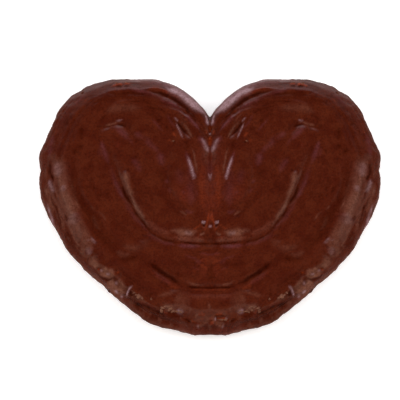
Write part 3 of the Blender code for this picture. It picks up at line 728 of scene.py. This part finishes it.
def smooth_path(points):
    """A Catmull-Rom curve through the points, sampled evenly in each span."""
    knots = np.array(points, float)
    knots = np.vstack([2 * knots[0] - knots[1], knots, 2 * knots[-1] - knots[-2]])
    t = np.linspace(0.0, 1.0, POINTS_PER_SPAN, endpoint=False)[:, None]
    spans = []
    for a, b, c, d in zip(knots, knots[1:], knots[2:], knots[3:]):
        cubic = (3 * b - a - 3 * c + d) * t**3 + (2 * a - 5 * b + 4 * c - d) * t**2
        spans.append((cubic + (c - a) * t + 2 * b) / 2)
    return np.vstack([*spans, knots[-2:-1]])


def along_and_across(x, y, path):
    """For each point, its nearest place along the path, from 0 to 1, and its distance to the
    right of the path, which is negative on the left."""
    starts, steps = path[:-1], np.diff(path, axis=0)
    lengths = np.linalg.norm(steps, axis=1)
    before = np.concatenate([[0.0], np.cumsum(lengths)[:-1]])
    from_start = np.stack([x, y], axis=-1)[:, None, :] - starts
    share = np.clip((from_start * steps).sum(-1) / lengths**2, 0.0, 1.0)
    apart = from_start - share[..., None] * steps
    distance = np.linalg.norm(apart, axis=-1)
    nearest = distance.argmin(axis=1)
    row = np.arange(len(nearest))
    side = steps[nearest, 1] * apart[row, nearest, 0] - steps[nearest, 0] * apart[row, nearest, 1]
    along = (before[nearest] + share[row, nearest] * lengths[nearest]) / lengths.sum()
    return along, distance[row, nearest] * np.where(side >= 0, 1.0, -1.0)


def fade_ends(along, fade_in, fade_out):
    """1 along most of a path, sinking to 0 at the ends that fade."""
    strength = np.ones_like(along)
    if fade_in:
        strength *= smooth_step(along, 0.0, fade_in)
    if fade_out:
        strength *= smooth_step(1.0 - along, 0.0, fade_out)
    return strength


def fold_relief(x, y, fold):
    """The height that a fold adds: a valley that decays away on both sides, a lip inside it and
    a sharp crease at its bottom. Also how deep in the crease each point is, from 0 to 1."""
    along, across = along_and_across(x, y, smooth_path(fold.path))
    strength = fade_ends(along, fold.fade_in, fold.fade_out)
    apart = np.hypot(across, VALLEY_ROUNDING) - VALLEY_ROUNDING
    decay = np.exp(-apart / np.where(across > 0, fold.inner, fold.outer))
    lip = np.where(across > 0, fold.lip * (1.0 - decay) * np.exp(-apart / LIP_REACH), 0.0)
    crease = strength * bump(across, 0.0, CREASE_WIDTH)
    return strength * (lip - fold.depth * decay) - fold.crease * crease, crease * fold.crease


def mark_strength(x, y, mark):
    """Which points lie near a mark, and how strongly it shows there, once for its tint and once
    for its height: 1 along its path, falling off across its width, which narrows to its ends."""
    path = smooth_path(mark.path)
    margin = MARK_REACH * mark.width
    low, high = path.min(axis=0) - margin, path.max(axis=0) + margin
    near = np.flatnonzero((x > low[0]) & (x < high[0]) & (y > low[1]) & (y < high[1]))
    along, across = along_and_across(x[near], y[near], path)
    ends = fade_ends(along, mark.taper, mark.taper)
    share = np.abs(across) / (mark.width * (MARK_END_WIDTH + (1.0 - MARK_END_WIDTH) * ends))
    tint = np.exp(-(share ** (CRISP_SIDES if mark.crisp else SOFT_SIDES)))
    return near, np.sqrt(ends) * tint, ends * bump(share, 0.0, 1.0)


def wall_recess(angle, height):
    """How far the wall draws in under the top's near edge."""
    turn = np.degrees(folded_turn(angle))
    low, high = RECESS_FROM_TO
    window = between(turn, (low, low + RECESS_FADE), (high - RECESS_FADE, high))
    return RECESS_DEPTH * window * bump(height, RECESS_HEIGHT, RECESS_SPREAD)


def drag_lines(turn, inset, reach, place, side, y):
    """Lines left as the coating was dragged off, from about -1 to 1: round the edge, and one way
    across the coil inside it, blended by how far out they are."""
    outer = smooth_step(reach, *EDGE_DRAG_REACH)
    way_x, way_y = INNER_DRAG_WAY
    inner = layered(way_x * side + way_y * y, way_x * y - way_y * side, INNER_DRAG)
    lines = layered(turn, inset, EDGE_DRAG) * outer + inner * (1.0 - outer)
    return np.where(place < 1.0, lines, 0.0)


def rim_tints(turn, place):
    """The thin coating round the rim: redder all round, with a painted sheen in patches round the sides
    and the near edge, and a thin painted highlight where that edge is widest."""
    # Painted sheen over the rim, in patches, kept off the far side
    pale = RIM_PAINTED_SHEEN * between(place, *RIM_SHEEN_BETWEEN) * (1.0 - smooth_step(turn, *RIM_SHEEN_TURNS))
    pale = pale * patchy(turn, place, RIM_SHEEN_PATCHES, RIM_SHEEN_PATCH_MEAN)
    near_highlight = bump(place, 1.0, NEAR_HIGHLIGHT_WIDTH) * smooth_step(-turn, *NEAR_HIGHLIGHT_TURNS)
    near_highlight = near_highlight * patchy(turn, place, NEAR_HIGHLIGHT_PATCHES, NEAR_HIGHLIGHT_MEAN)
    return {
        "red": RIM_RED * between(place, *RIM_RED_BETWEEN),
        "painted_highlight": np.maximum(pale, near_highlight),
        "gleam": NEAR_HIGHLIGHT_GLEAM * near_highlight,
    }


def rough_patch(x, y, place):
    """How much baked pastry shows through in the rough patch: flecks that thin out from its
    middle."""
    middle_x, middle_y = ROUGH_PATCH
    patch = bump(np.hypot(x - middle_x, y - middle_y), 0.0, ROUGH_RADIUS) * (place < 1.0)
    flecks = np.clip(layered(np.abs(x), y, FLECKS) - FLECK_LEVEL, 0.0, 1.0)
    return ROUGH_BARE * patch * flecks


def deepen(tint, where, amount):
    """Raises a tint to an amount at some of the points, where it isn't deeper already."""
    tint[where] = np.maximum(tint[where], amount)


def add_marks(top, x, y, out, tints):
    """Adds the marks and the pores to the points on top. Their paths wander a little and their
    tints are uneven. A mark raises or sinks the skin and tints it, mostly with painted shade, painted
    highlights and painted sheen; a pore sinks and is darkened with painted shade."""
    side = np.abs(x)
    wander = layered(side, y, WANDER_ACROSS)
    mark_y = y + layered(side, y, WANDER_UP)
    uneven = 1.0 + layered(side, y, UNEVEN_TINT)
    for mark in MARKS:
        mark_x = wander + (side if mark.both else x)
        near, tint, hump = mark_strength(mark_x, mark_y, mark)
        out[top[near]] += mark.rise * hump
        deepen(tints[mark.tint], top[near], mark.amount * tint * uneven[near])
    for pore_x, pore_y, radius in PORES:
        hole = bump(np.hypot(side + wander - pore_x, mark_y - pore_y), 0.0, radius)
        out[top] -= PORE_DEPTH * hole
        deepen(tints["shade"], top, PORE_SHADE * hole)


def underside_hollows(side, y, reach, height):
    """How far the folds draw the underside in, which is pressed flat where the pastry rests."""
    fade = (1.0 - smooth_step(height, 0.0, BULGE_HEIGHT)) * (1.0 - smooth_step(reach, *UNDER_FADE))
    hollow = sum(np.maximum(-fold_relief(side, y, fold)[0], 0.0) for fold in UNDER_FOLDS)
    return np.maximum(fade * hollow - PRESSED_FLAT, 0.0)


def coating_points(angle, place):
    """The coating's skin: the section carried round the outline, with folds, marks and the soft
    unevenness of a dipped pastry. Gives the points and, for each tint, how much of it they carry."""
    reach, height, lean = section(place)
    edge = outline(angle)
    distance = edge * reach - wall_recess(angle, height) * smooth_step(reach, *RECESS_REACH)
    x = distance * np.cos(angle)
    y = distance * np.sin(angle) + HEART_MIDDLE_Y
    side = np.abs(x)
    turn = np.degrees(folded_turn(angle))

    drag = drag_lines(turn, edge * (1.0 - reach), reach, place, side, y)
    soft = layered(side, y, SOFT_HILLS)
    fine = layered(side, y, FINE_HILLS)
    frayed = layered(turn, height, FRAYED_HILLS) * smooth_step(reach, *FRAYED_REACH)
    out = np.where(place < LOWER_WALL, soft + fine, LOWER_WALL_SHARE * soft)
    out = out + DRAG_DEPTH * drag + frayed

    # Painted shade in the bottoms of the drag lines, bare pastry in the rough patch, and round the rim a
    # redder coating, a painted sheen and a painted highlight line
    tints = {tint: np.zeros_like(x) for tint in TINT_COLOURS}
    tints["shade"] = DRAG_SHADE * np.clip(-drag - DRAG_SHADE_FROM, 0.0, 1.0)
    tints["bare"] = rough_patch(x, y, place)
    tints.update(rim_tints(turn, place))

    top = np.flatnonzero(place < 1.0)
    on_top = smooth_step(height[top], BULGE_HEIGHT, TOP_HEIGHT)
    raised = np.zeros_like(x)
    # Painted shade in each fold's crease
    for fold in TOP_FOLDS:
        relief, crease = fold_relief(side[top], y[top], fold)
        raised[top] += on_top * relief
        deepen(tints["shade"], top, on_top * crease)
    add_marks(top, x[top], y[top], out, tints)

    beneath = np.flatnonzero(place > 1.0)
    raised[beneath] += underside_hollows(side[beneath], y[beneath], reach[beneath], height[beneath])
    out = np.where(place > SMOOTH_FROM, 0.0, out)

    x = x + out * np.sin(lean) * np.cos(angle)
    y = y + out * np.sin(lean) * np.sin(angle)
    z = height + raised + out * np.cos(lean)
    return np.stack([x, y, z], axis=-1), tints


def square_rings(rings):
    """A square lattice of points seen as rings round its middle: each point's direction, and its
    ring as a share of all rings. Walking round a ring turns evenly."""
    column, row = np.meshgrid(np.arange(-rings, rings + 1), np.arange(-rings, rings + 1))
    ring = np.maximum(np.abs(column), np.abs(row))
    steps = np.select(
        [ring == column, ring == row, ring == -column],
        [row, 2 * ring - column, 4 * ring - row],
        6 * ring + column,
    )
    angle = steps * (math.pi / 4) / np.maximum(ring, 1)
    return angle.ravel(), ring.ravel() / rings


def lattice_faces(size, first, flipped):
    """The quads of a square lattice of size by size points, numbered from first."""
    number = first + np.arange(size * size).reshape(size, size)
    corners = [number[:-1, :-1], number[:-1, 1:], number[1:, 1:], number[1:, :-1]]
    return np.stack(corners[::-1] if flipped else corners, axis=-1).reshape(-1, 4)


def lattice_border(rings, first):
    """The numbers of a lattice's outermost points, once round from the +X side's middle."""
    size = 2 * rings + 1
    step = np.arange(8 * rings)
    along = step - rings * (2 * ((step + rings) // (2 * rings)))
    side = ((step + rings) // (2 * rings)) % 4
    column = np.select([side == 0, side == 1, side == 2, side == 3], [rings, -along, -rings, along])
    row = np.select([side == 0, side == 1, side == 2, side == 3], [along, rings, -along, -rings])
    return first + (row + rings) * size + column + rings


def coating_mesh():
    """The closed skin: a lattice for the top, rings for the wall, and a lattice half as fine for
    the underside, joined to the last ring by a band of triangles."""
    under_rings = TOP_RINGS // 2
    around = 8 * TOP_RINGS
    top_angle, top_share = square_rings(TOP_RINGS)
    under_angle, under_share = square_rings(under_rings)
    ring_angle = np.arange(around) * 2 * math.pi / around
    wall_place = 1.0 + np.arange(1, WALL_RINGS + 1) / WALL_RINGS
    angle = np.concatenate([top_angle, np.tile(ring_angle, WALL_RINGS), under_angle])
    place = np.concatenate([top_share, np.repeat(wall_place, around), 3.0 - UNDER_REACH * under_share])
    points, tints = coating_points(angle, place)

    top_border = lattice_border(TOP_RINGS, 0)
    first_wall = len(top_angle)
    wall = first_wall + np.arange(WALL_RINGS * around).reshape(WALL_RINGS, around)
    rings = np.vstack([top_border, wall])
    first_under = first_wall + wall.size
    under_border = lattice_border(under_rings, first_under)

    above, below = rings[:-1], rings[1:]
    wall_quads = np.stack(
        [above, below, np.roll(below, -1, axis=1), np.roll(above, -1, axis=1)], axis=-1
    ).reshape(-1, 4)
    quads = np.concatenate(
        [
            lattice_faces(2 * TOP_RINGS + 1, 0, flipped=False),
            wall_quads,
            lattice_faces(2 * under_rings + 1, first_under, flipped=True),
        ]
    )
    last = rings[-1]
    even, odd, next_even = last[0::2], last[1::2], np.roll(last[0::2], -1)
    here, there = under_border, np.roll(under_border, -1)
    band = np.concatenate(
        [
            np.stack([even, here, odd], axis=-1),
            np.stack([odd, here, there], axis=-1),
            np.stack([odd, there, next_even], axis=-1),
        ]
    )
    return mesh_from(points, quads, band, "chocolate_coating"), points, tints


def mesh_from(points, quads, triangles, name):
    """A mesh of numpy points, four-cornered faces and three-cornered faces, smoothly shaded."""
    mesh = bpy.data.meshes.new(name)
    corners = np.concatenate([quads.ravel(), triangles.ravel()])
    starts = np.concatenate(
        [np.arange(len(quads)) * 4, len(quads) * 4 + np.arange(len(triangles)) * 3]
    )
    mesh.vertices.add(len(points))
    mesh.vertices.foreach_set("co", points.astype(np.float32).ravel())
    mesh.loops.add(len(corners))
    mesh.loops.foreach_set("vertex_index", corners.astype(np.int32))
    mesh.polygons.add(len(starts))
    mesh.polygons.foreach_set("loop_start", starts.astype(np.int32))
    mesh.update(calc_edges=True)
    mesh.validate()
    mesh.shade_smooth()
    return mesh


def fit_to_box(points, low, high):
    """The points moved and stretched to fill the box between two corners."""
    least, most = points.min(axis=0), points.max(axis=0)
    return low + (points - least) * (high - low) / (most - least)


def add_tints(mesh, tints):
    """Each tint's amount, stored on the mesh's points for the material to read."""
    for name, amount in tints.items():
        layer = mesh.attributes.new(name, "FLOAT", "POINT")
        layer.data.foreach_set("value", np.clip(amount, 0.0, 1.0).astype(np.float32))


def add_object(name, mesh, material):
    """An object at the origin that shows a mesh in one material."""
    made = bpy.data.objects.new(name, mesh)
    made.data.materials.append(material)
    bpy.context.scene.collection.objects.link(made)
    return made


def crumb_lump():
    """A ball of radius 1 as rings round an upright axis, closed at both poles: its points, its
    four-cornered faces and its three-cornered ones."""
    rise = np.linspace(-math.pi / 2, math.pi / 2, CRUMB_ROWS)[1:-1]
    turn = np.arange(CRUMB_COLUMNS) * 2 * math.pi / CRUMB_COLUMNS
    ring = np.stack(
        [
            np.outer(np.cos(rise), np.cos(turn)),
            np.outer(np.cos(rise), np.sin(turn)),
            np.outer(np.sin(rise), np.ones(CRUMB_COLUMNS)),
        ],
        axis=-1,
    ).reshape(-1, 3)
    points = np.vstack([[0.0, 0.0, -1.0], ring, [0.0, 0.0, 1.0]])
    first = 1 + np.arange(len(ring)).reshape(-1, CRUMB_COLUMNS)
    following = np.roll(first, -1, axis=1)
    quads = np.stack([first[:-1], following[:-1], following[1:], first[1:]], axis=-1).reshape(-1, 4)
    bottom, top = np.zeros(CRUMB_COLUMNS, int), np.full(CRUMB_COLUMNS, len(points) - 1)
    caps = np.vstack(
        [
            np.stack([bottom, following[0], first[0]], axis=-1),
            np.stack([top, first[-1], following[-1]], axis=-1),
        ]
    )
    return points, quads, caps


def shaped_crumb(lump, crumb, number):
    """A lump flattened and stretched to a crumb's size, made uneven by smooth hills, of which each
    crumb takes a stretch of its own, and turned about its upright axis."""
    spread = hills(lump[:, 0] * 1.6 + 5 * number, lump[:, 1] * 1.6 + 9 * number, 12)
    humps = hills(lump[:, 0] * 2.6 + 5 * number, lump[:, 1] * 2.6 + 7 * number, 18)
    sized = lump * (crumb.long, crumb.wide, CRUMB_RISE) * (1.0 + CRUMB_UNEVENNESS * spread[:, None])
    angle = math.radians(crumb.turn)
    x = sized[:, 0] * math.cos(angle) - sized[:, 1] * math.sin(angle)
    y = sized[:, 0] * math.sin(angle) + sized[:, 1] * math.cos(angle)
    return np.stack([x, y, sized[:, 2] * (1.0 + CRUMB_HUMPS * humps)], axis=-1)


def crumb_mesh(skin):
    """Every crumb as a closed lump, half sunk in the skin at the nearest of its upper points, and
    mirrored where both halves of the heart have it."""
    lump, quads, caps = crumb_lump()
    points, all_quads, all_caps = [], [], []
    for number, crumb in enumerate(CRUMBS):
        for mirror in (1.0, -1.0) if crumb.both else (1.0,):
            away = np.hypot(skin[:, 0] - mirror * crumb.x, skin[:, 1] - crumb.y)
            seat = skin[np.where(skin[:, 2] > BULGE_HEIGHT, away, np.inf).argmin()]
            start = len(points) * len(lump)
            points.append(shaped_crumb(lump, crumb, number) * (mirror, 1.0, 1.0) + seat)
            all_quads.append((quads if mirror > 0 else quads[:, ::-1]) + start)
            all_caps.append((caps if mirror > 0 else caps[:, ::-1]) + start)
    points = np.vstack(points)
    return mesh_from(points * MM, np.vstack(all_quads), np.vstack(all_caps), "pastry_crumbs")


# ---- finish ---------------------------------------------------------------------------------


def from_screen(red, green, blue):
    """A shader colour from the red, green and blue of a colour card, which run from 0 to 255."""
    shares = [value / 255 for value in (red, green, blue)]
    linear = [s / 12.92 if s <= 0.04045 else ((s + 0.055) / 1.055) ** 2.4 for s in shares]
    return (*linear, 1.0)


# Tint colours. The red and the orange of bare pastry are the coating's own. The near-black is painted shade,
# the warm beige a painted highlight, the mauve a painted cool sheen and the pale lilac the brightest painted
# highlight.
TINT_COLOURS = {
    "red": from_screen(96, 32, 15),
    "painted_cool_sheen": from_screen(92, 42, 44),
    "painted_highlight": from_screen(113, 68, 53),
    "shade": from_screen(46, 9, 2),
    "bare": from_screen(118, 42, 14),
    "gleam": from_screen(152, 120, 126),
}

# How much of its gloss the open surface shows, and the amount of shade from which a crevice
# shows none at all
OPEN_SHEEN = 0.5
MATT_SHADE = 0.6

WHITE = (1.0, 1.0, 1.0, 1.0)

# The mottle's three outputs, each with its noise's scale and detail
MOTTLE_PARTS = (("Patches", 220.0, 4.0), ("Grain", 1500.0, 2.0), ("Height", 700.0, 3.0))


def new_material(name):
    """A new material, with its node tree and its shader."""
    material = bpy.data.materials.new(name)
    material.use_nodes = True
    return material, material.node_tree, material.node_tree.nodes["Principled BSDF"]


def set_inputs(node, **values):
    """Sets a node's inputs by their names, in which _ stands for a space."""
    for name, value in values.items():
        node.inputs[name.replace("_", " ")].default_value = value


def add_noise(tree, vector, scale, detail):
    """A noise texture read at the piece's own coordinates; gives its value from 0 to 1."""
    noise = tree.nodes.new("ShaderNodeTexNoise")
    set_inputs(noise, Scale=scale, Detail=detail)
    tree.links.new(vector, noise.inputs["Vector"])
    return noise.outputs["Fac"]


def add_attribute(tree, name):
    """The amount that is stored on the mesh's points under a name."""
    amount = tree.nodes.new("ShaderNodeAttribute")
    amount.attribute_name = name
    return amount.outputs["Fac"]


def add_ramp(tree, value, low, high):
    """A value turned into a colour: one colour up to the low value, another from the high value
    on, and an even change between. Low and high are pairs of a value and its colour."""
    ramp = tree.nodes.new("ShaderNodeValToRGB")
    for stop, (position, colour) in zip(ramp.color_ramp.elements, (low, high)):
        stop.position = position
        stop.color = colour
    tree.links.new(value, ramp.inputs["Fac"])
    return ramp.outputs["Color"]


def add_range(tree, value, start, end):
    """A value stretched evenly and kept inside its ends. Start and end are pairs of a value and
    what it becomes."""
    stretch = tree.nodes.new("ShaderNodeMapRange")
    set_inputs(stretch, From_Min=start[0], From_Max=end[0], To_Min=start[1], To_Max=end[1])
    tree.links.new(value, stretch.inputs["Value"])
    return stretch.outputs["Result"]


def combined(tree, way, first, second):
    """Two colours put together in full: MULTIPLY or ADD."""
    mix = tree.nodes.new("ShaderNodeMix")
    mix.data_type = "RGBA"
    mix.blend_type = way
    mix.inputs["Factor"].default_value = 1.0
    tree.links.new(first, mix.inputs["A"])
    tree.links.new(second, mix.inputs["B"])
    return mix.outputs["Result"]


def mixed_towards(tree, colour, target, share):
    """A colour mixed towards a fixed one by a share from 0 to 1."""
    mix = tree.nodes.new("ShaderNodeMix")
    mix.data_type = "RGBA"
    mix.inputs["B"].default_value = target
    tree.links.new(share, mix.inputs["Factor"])
    tree.links.new(colour, mix.inputs["A"])
    return mix.outputs["Result"]


def add_bumps(tree, shader, height, strength, distance):
    """Fine bumps on a shader's surface: how strongly they show, and how high they are, in metres."""
    relief = tree.nodes.new("ShaderNodeBump")
    set_inputs(relief, Strength=strength, Distance=distance)
    tree.links.new(height, relief.inputs["Height"])
    tree.links.new(relief.outputs["Normal"], shader.inputs["Normal"])


def cocoa_mottle_group():
    """Uneven chocolate: broad patches, fine grain and a height for its fine bumps, all of them
    noise on the piece's own coordinates, drawn finer or coarser by Scale."""
    group = bpy.data.node_groups.new("Cocoa mottle", "ShaderNodeTree")
    group.interface.new_socket("Scale", in_out="INPUT", socket_type="NodeSocketFloat")
    for name, _, _ in MOTTLE_PARTS:
        group.interface.new_socket(name, in_out="OUTPUT", socket_type="NodeSocketFloat")
    nodes, links = group.nodes, group.links
    entry = nodes.new("NodeGroupInput")
    leave = nodes.new("NodeGroupOutput")
    place = nodes.new("ShaderNodeTexCoord")
    scaled = nodes.new("ShaderNodeVectorMath")
    scaled.operation = "SCALE"
    links.new(place.outputs["Object"], scaled.inputs["Vector"])
    links.new(entry.outputs["Scale"], scaled.inputs["Scale"])
    for name, scale, detail in MOTTLE_PARTS:
        noise = add_noise(group, scaled.outputs["Vector"], scale, detail)
        links.new(noise, leave.inputs[name])
    return group


def add_mottle(tree, mottle, scale):
    """The shared mottle in a material's tree; gives its three outputs."""
    uneven = tree.nodes.new("ShaderNodeGroup")
    uneven.node_tree = mottle
    uneven.inputs["Scale"].default_value = scale
    return uneven.outputs


def coating_material(mottle):
    """Set dark chocolate: mottled brown, tinted where the mesh says with its redder and bare patches
    and with painted shade, painted highlights and a painted cool sheen, darkened by its grain. It is
    satin with fine bumps, under a thin gloss that fades out in the crevices."""
    material, tree, shader = new_material("dipped_dark_chocolate")
    set_inputs(shader, IOR=1.47, Specular_IOR_Level=0.2, Specular_Tint=(1.0, 0.5, 0.35, 1.0))
    uneven = add_mottle(tree, mottle, 1.0)

    brown = (0.2, from_screen(66, 15, 3)), (0.8, from_screen(84, 29, 8))
    colour = add_ramp(tree, uneven["Patches"], *brown)
    # Each tint mixed in: the coating's own red and bare pastry, plus painted shade, painted highlights and
    # painted cool sheen
    for name, tint in TINT_COLOURS.items():
        colour = mixed_towards(tree, colour, tint, add_attribute(tree, name))
    grain = add_ramp(tree, uneven["Grain"], (0.28, (0.6, 0.49, 0.42, 1.0)), (0.58, WHITE))
    colour = combined(tree, "MULTIPLY", colour, grain)
    tree.links.new(colour, shader.inputs["Base Color"])

    satin = add_range(tree, uneven["Patches"], (0.3, 0.20), (0.7, 0.34))
    tree.links.new(satin, shader.inputs["Roughness"])
    crevice = add_attribute(tree, "shade")
    sheen = add_range(tree, crevice, (0.0, OPEN_SHEEN), (MATT_SHADE, 0.0))
    tree.links.new(sheen, shader.inputs["Coat Weight"])
    shader.inputs["Coat Roughness"].default_value = 0.24
    add_bumps(tree, shader, uneven["Height"], strength=0.3, distance=0.0003)
    return material


def crumb_material(mottle):
    """Baked pastry: beige to brown by patches, matt and rough."""
    material, tree, shader = new_material("baked_pastry_crumb")
    shader.inputs["Roughness"].default_value = 0.6
    uneven = add_mottle(tree, mottle, 4.0)
    beige = (0.35, from_screen(80, 34, 20)), (0.6, from_screen(110, 68, 48))
    colour = add_ramp(tree, uneven["Patches"], *beige)
    tree.links.new(colour, shader.inputs["Base Color"])
    add_bumps(tree, shader, uneven["Height"], strength=0.5, distance=0.0002)
    return material


# ---- stage ----------------------------------------------------------------------------------

# Colours of the lamps
NEUTRAL = (1.0, 1.0, 1.0)
WARM = (1.0, 0.84, 0.72)
AMBER = (1.0, 0.74, 0.56)
COOL = (0.88, 0.86, 1.0)

# What the gloss shows of the room: the dark around, its pale back wall and the dim floor below
ROOM_DARK = (0.015, 0.015, 0.015, 1.0)
ROOM_BACK_WALL = (0.6, 0.55, 0.58, 1.0)
ROOM_FLOOR = (0.2, 0.1, 0.08, 1.0)
BLACK = (0.0, 0.0, 0.0, 1.0)

# The lamps face the pastry's middle; the camera looks at a point beside it, from the near side
# and above, at a height in degrees and a distance
LAMPS_AIM = (0.0, 0.0, 0.009)
CAMERA_AIM = np.array([-0.00375, 0.00135, 0.00936])
CAMERA_HEIGHT = 75
CAMERA_DISTANCE = 0.501

FLOOR_SIZE = 3.0


def from_middle(azimuth, elevation, distance):
    """A place seen from the origin under the pastry: its distance, its turn from +X and its
    height above the floor, both in degrees. 90 degrees is the far side, 270 the near one."""
    turn, rise = math.radians(azimuth), math.radians(elevation)
    flat = distance * math.cos(rise)
    return np.array([flat * math.cos(turn), flat * math.sin(turn), distance * math.sin(rise)])


def aim(thing, target):
    """Turns a camera or a lamp, which look along -Z, towards a point."""
    direction = Vector(target) - thing.location
    thing.rotation_euler = direction.to_track_quat("-Z", "Y").to_euler()


def add_softbox(name, azimuth, elevation, distance, size, brightness, colour, in_gloss=True):
    """A rectangular lamp that faces the pastry. Its place is given by two angles in degrees and a
    distance, its size as width and height in metres. Its power is its brightness times pi times
    its area, so that a larger lamp is as bright to look at as a small one."""
    lamp = bpy.data.lights.new(name, "AREA")
    lamp.shape = "RECTANGLE"
    lamp.size, lamp.size_y = size
    lamp.energy = brightness * math.pi * size[0] * size[1]
    lamp.color = colour
    box = bpy.data.objects.new(name, lamp)
    box.location = from_middle(azimuth, elevation, distance)
    bpy.context.scene.collection.objects.link(box)
    aim(box, LAMPS_AIM)
    box.visible_glossy = in_gloss
    box.visible_camera = False


def add_lights():
    """Diffuse light from above and both sides that stays out of the gloss, and soft boxes low
    down all round that make the gloss."""
    add_softbox("overhead", 90, 88, 1.3, (1.6, 1.6), 1.5, NEUTRAL, in_gloss=False)
    for mirror, side in ((1, 0), (-1, 180)):
        add_softbox(f"fill_{side}", side, 40, 1.0, (0.7, 0.7), 2.4, NEUTRAL, in_gloss=False)
        add_softbox(f"side_{side}", side - 5 * mirror, 28, 0.8, (0.55, 0.32), 0.75, WARM)
        add_softbox(f"corner_{side}", side - 45 * mirror, 12, 0.8, (0.45, 0.25), 1.2, AMBER)
        add_softbox(f"back_{side}", side + 45 * mirror, 30, 0.8, (0.4, 0.4), 0.2, COOL)
    add_softbox("front", 270, 45, 0.8, (0.55, 0.5), 0.8, WARM)
    add_softbox("back", 90, 25, 0.8, (0.6, 0.3), 1.1, COOL)


def add_world():
    """A pale room: white to the camera. In reflections its back wall is pale, the floor below is
    a dim brown and the rest is dark, so that the lamps decide."""
    world = bpy.data.worlds.new("pale room")
    world.use_nodes = True
    tree = world.node_tree
    direction = tree.nodes.new("ShaderNodeTexCoord")
    parts = tree.nodes.new("ShaderNodeSeparateXYZ")
    tree.links.new(direction.outputs["Generated"], parts.inputs["Vector"])
    back_wall = add_ramp(tree, parts.outputs["Y"], (0.6, ROOM_DARK), (0.9, ROOM_BACK_WALL))
    below = add_ramp(tree, parts.outputs["Z"], (0.0, ROOM_FLOOR), (0.05, BLACK))
    room = combined(tree, "ADD", back_wall, below)
    seen = tree.nodes.new("ShaderNodeLightPath")
    shown = mixed_towards(tree, room, WHITE, seen.outputs["Is Camera Ray"])
    tree.links.new(shown, tree.nodes["Background"].inputs["Color"])
    bpy.context.scene.world = world


def add_floor():
    """A plain pale floor under the pastry, matt and faintly lit of itself."""
    half = FLOOR_SIZE / 2
    mesh = bpy.data.meshes.new("floor")
    corners = [(-half, -half, 0), (half, -half, 0), (half, half, 0), (-half, half, 0)]
    mesh.from_pydata(corners, [], [(0, 1, 2, 3)])
    pale, _, shader = new_material("pale_floor")
    set_inputs(shader, Base_Color=(0.9, 0.9, 0.9, 1.0), Roughness=0.9)
    set_inputs(shader, Emission_Color=WHITE, Emission_Strength=0.4)
    floor = add_object("floor", mesh, pale)
    floor.visible_glossy = False


def add_camera():
    """A long lens that looks down at the near side."""
    lens = bpy.data.cameras.new("camera")
    lens.lens = 120.0
    lens.sensor_width = 36.0
    camera = bpy.data.objects.new("camera", lens)
    camera.location = CAMERA_AIM + from_middle(270, CAMERA_HEIGHT, CAMERA_DISTANCE)
    bpy.context.scene.collection.objects.link(camera)
    aim(camera, CAMERA_AIM)
    bpy.context.scene.camera = camera


# ---- the pastry and its stage -----------------------------------------------------------------

coating, skin, tint_amounts = coating_mesh()
skin = fit_to_box(skin, BOX_LOW, BOX_HIGH + FAR_SIDE_BULGE)
coating.vertices.foreach_set("co", skin.astype(np.float32).ravel())
coating.update()
add_tints(coating, tint_amounts)
cocoa_mottle = cocoa_mottle_group()
chocolate_coating = add_object("chocolate_coating", coating, coating_material(cocoa_mottle))
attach(chocolate_coating, "root")
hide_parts(NODE)

pastry_crumbs = add_object("pastry_crumbs", crumb_mesh(skin / MM), crumb_material(cocoa_mottle))
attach(pastry_crumbs, "root")

add_floor()
add_world()
add_lights()
add_camera()
bpy.context.scene.view_settings.view_transform = "Standard"
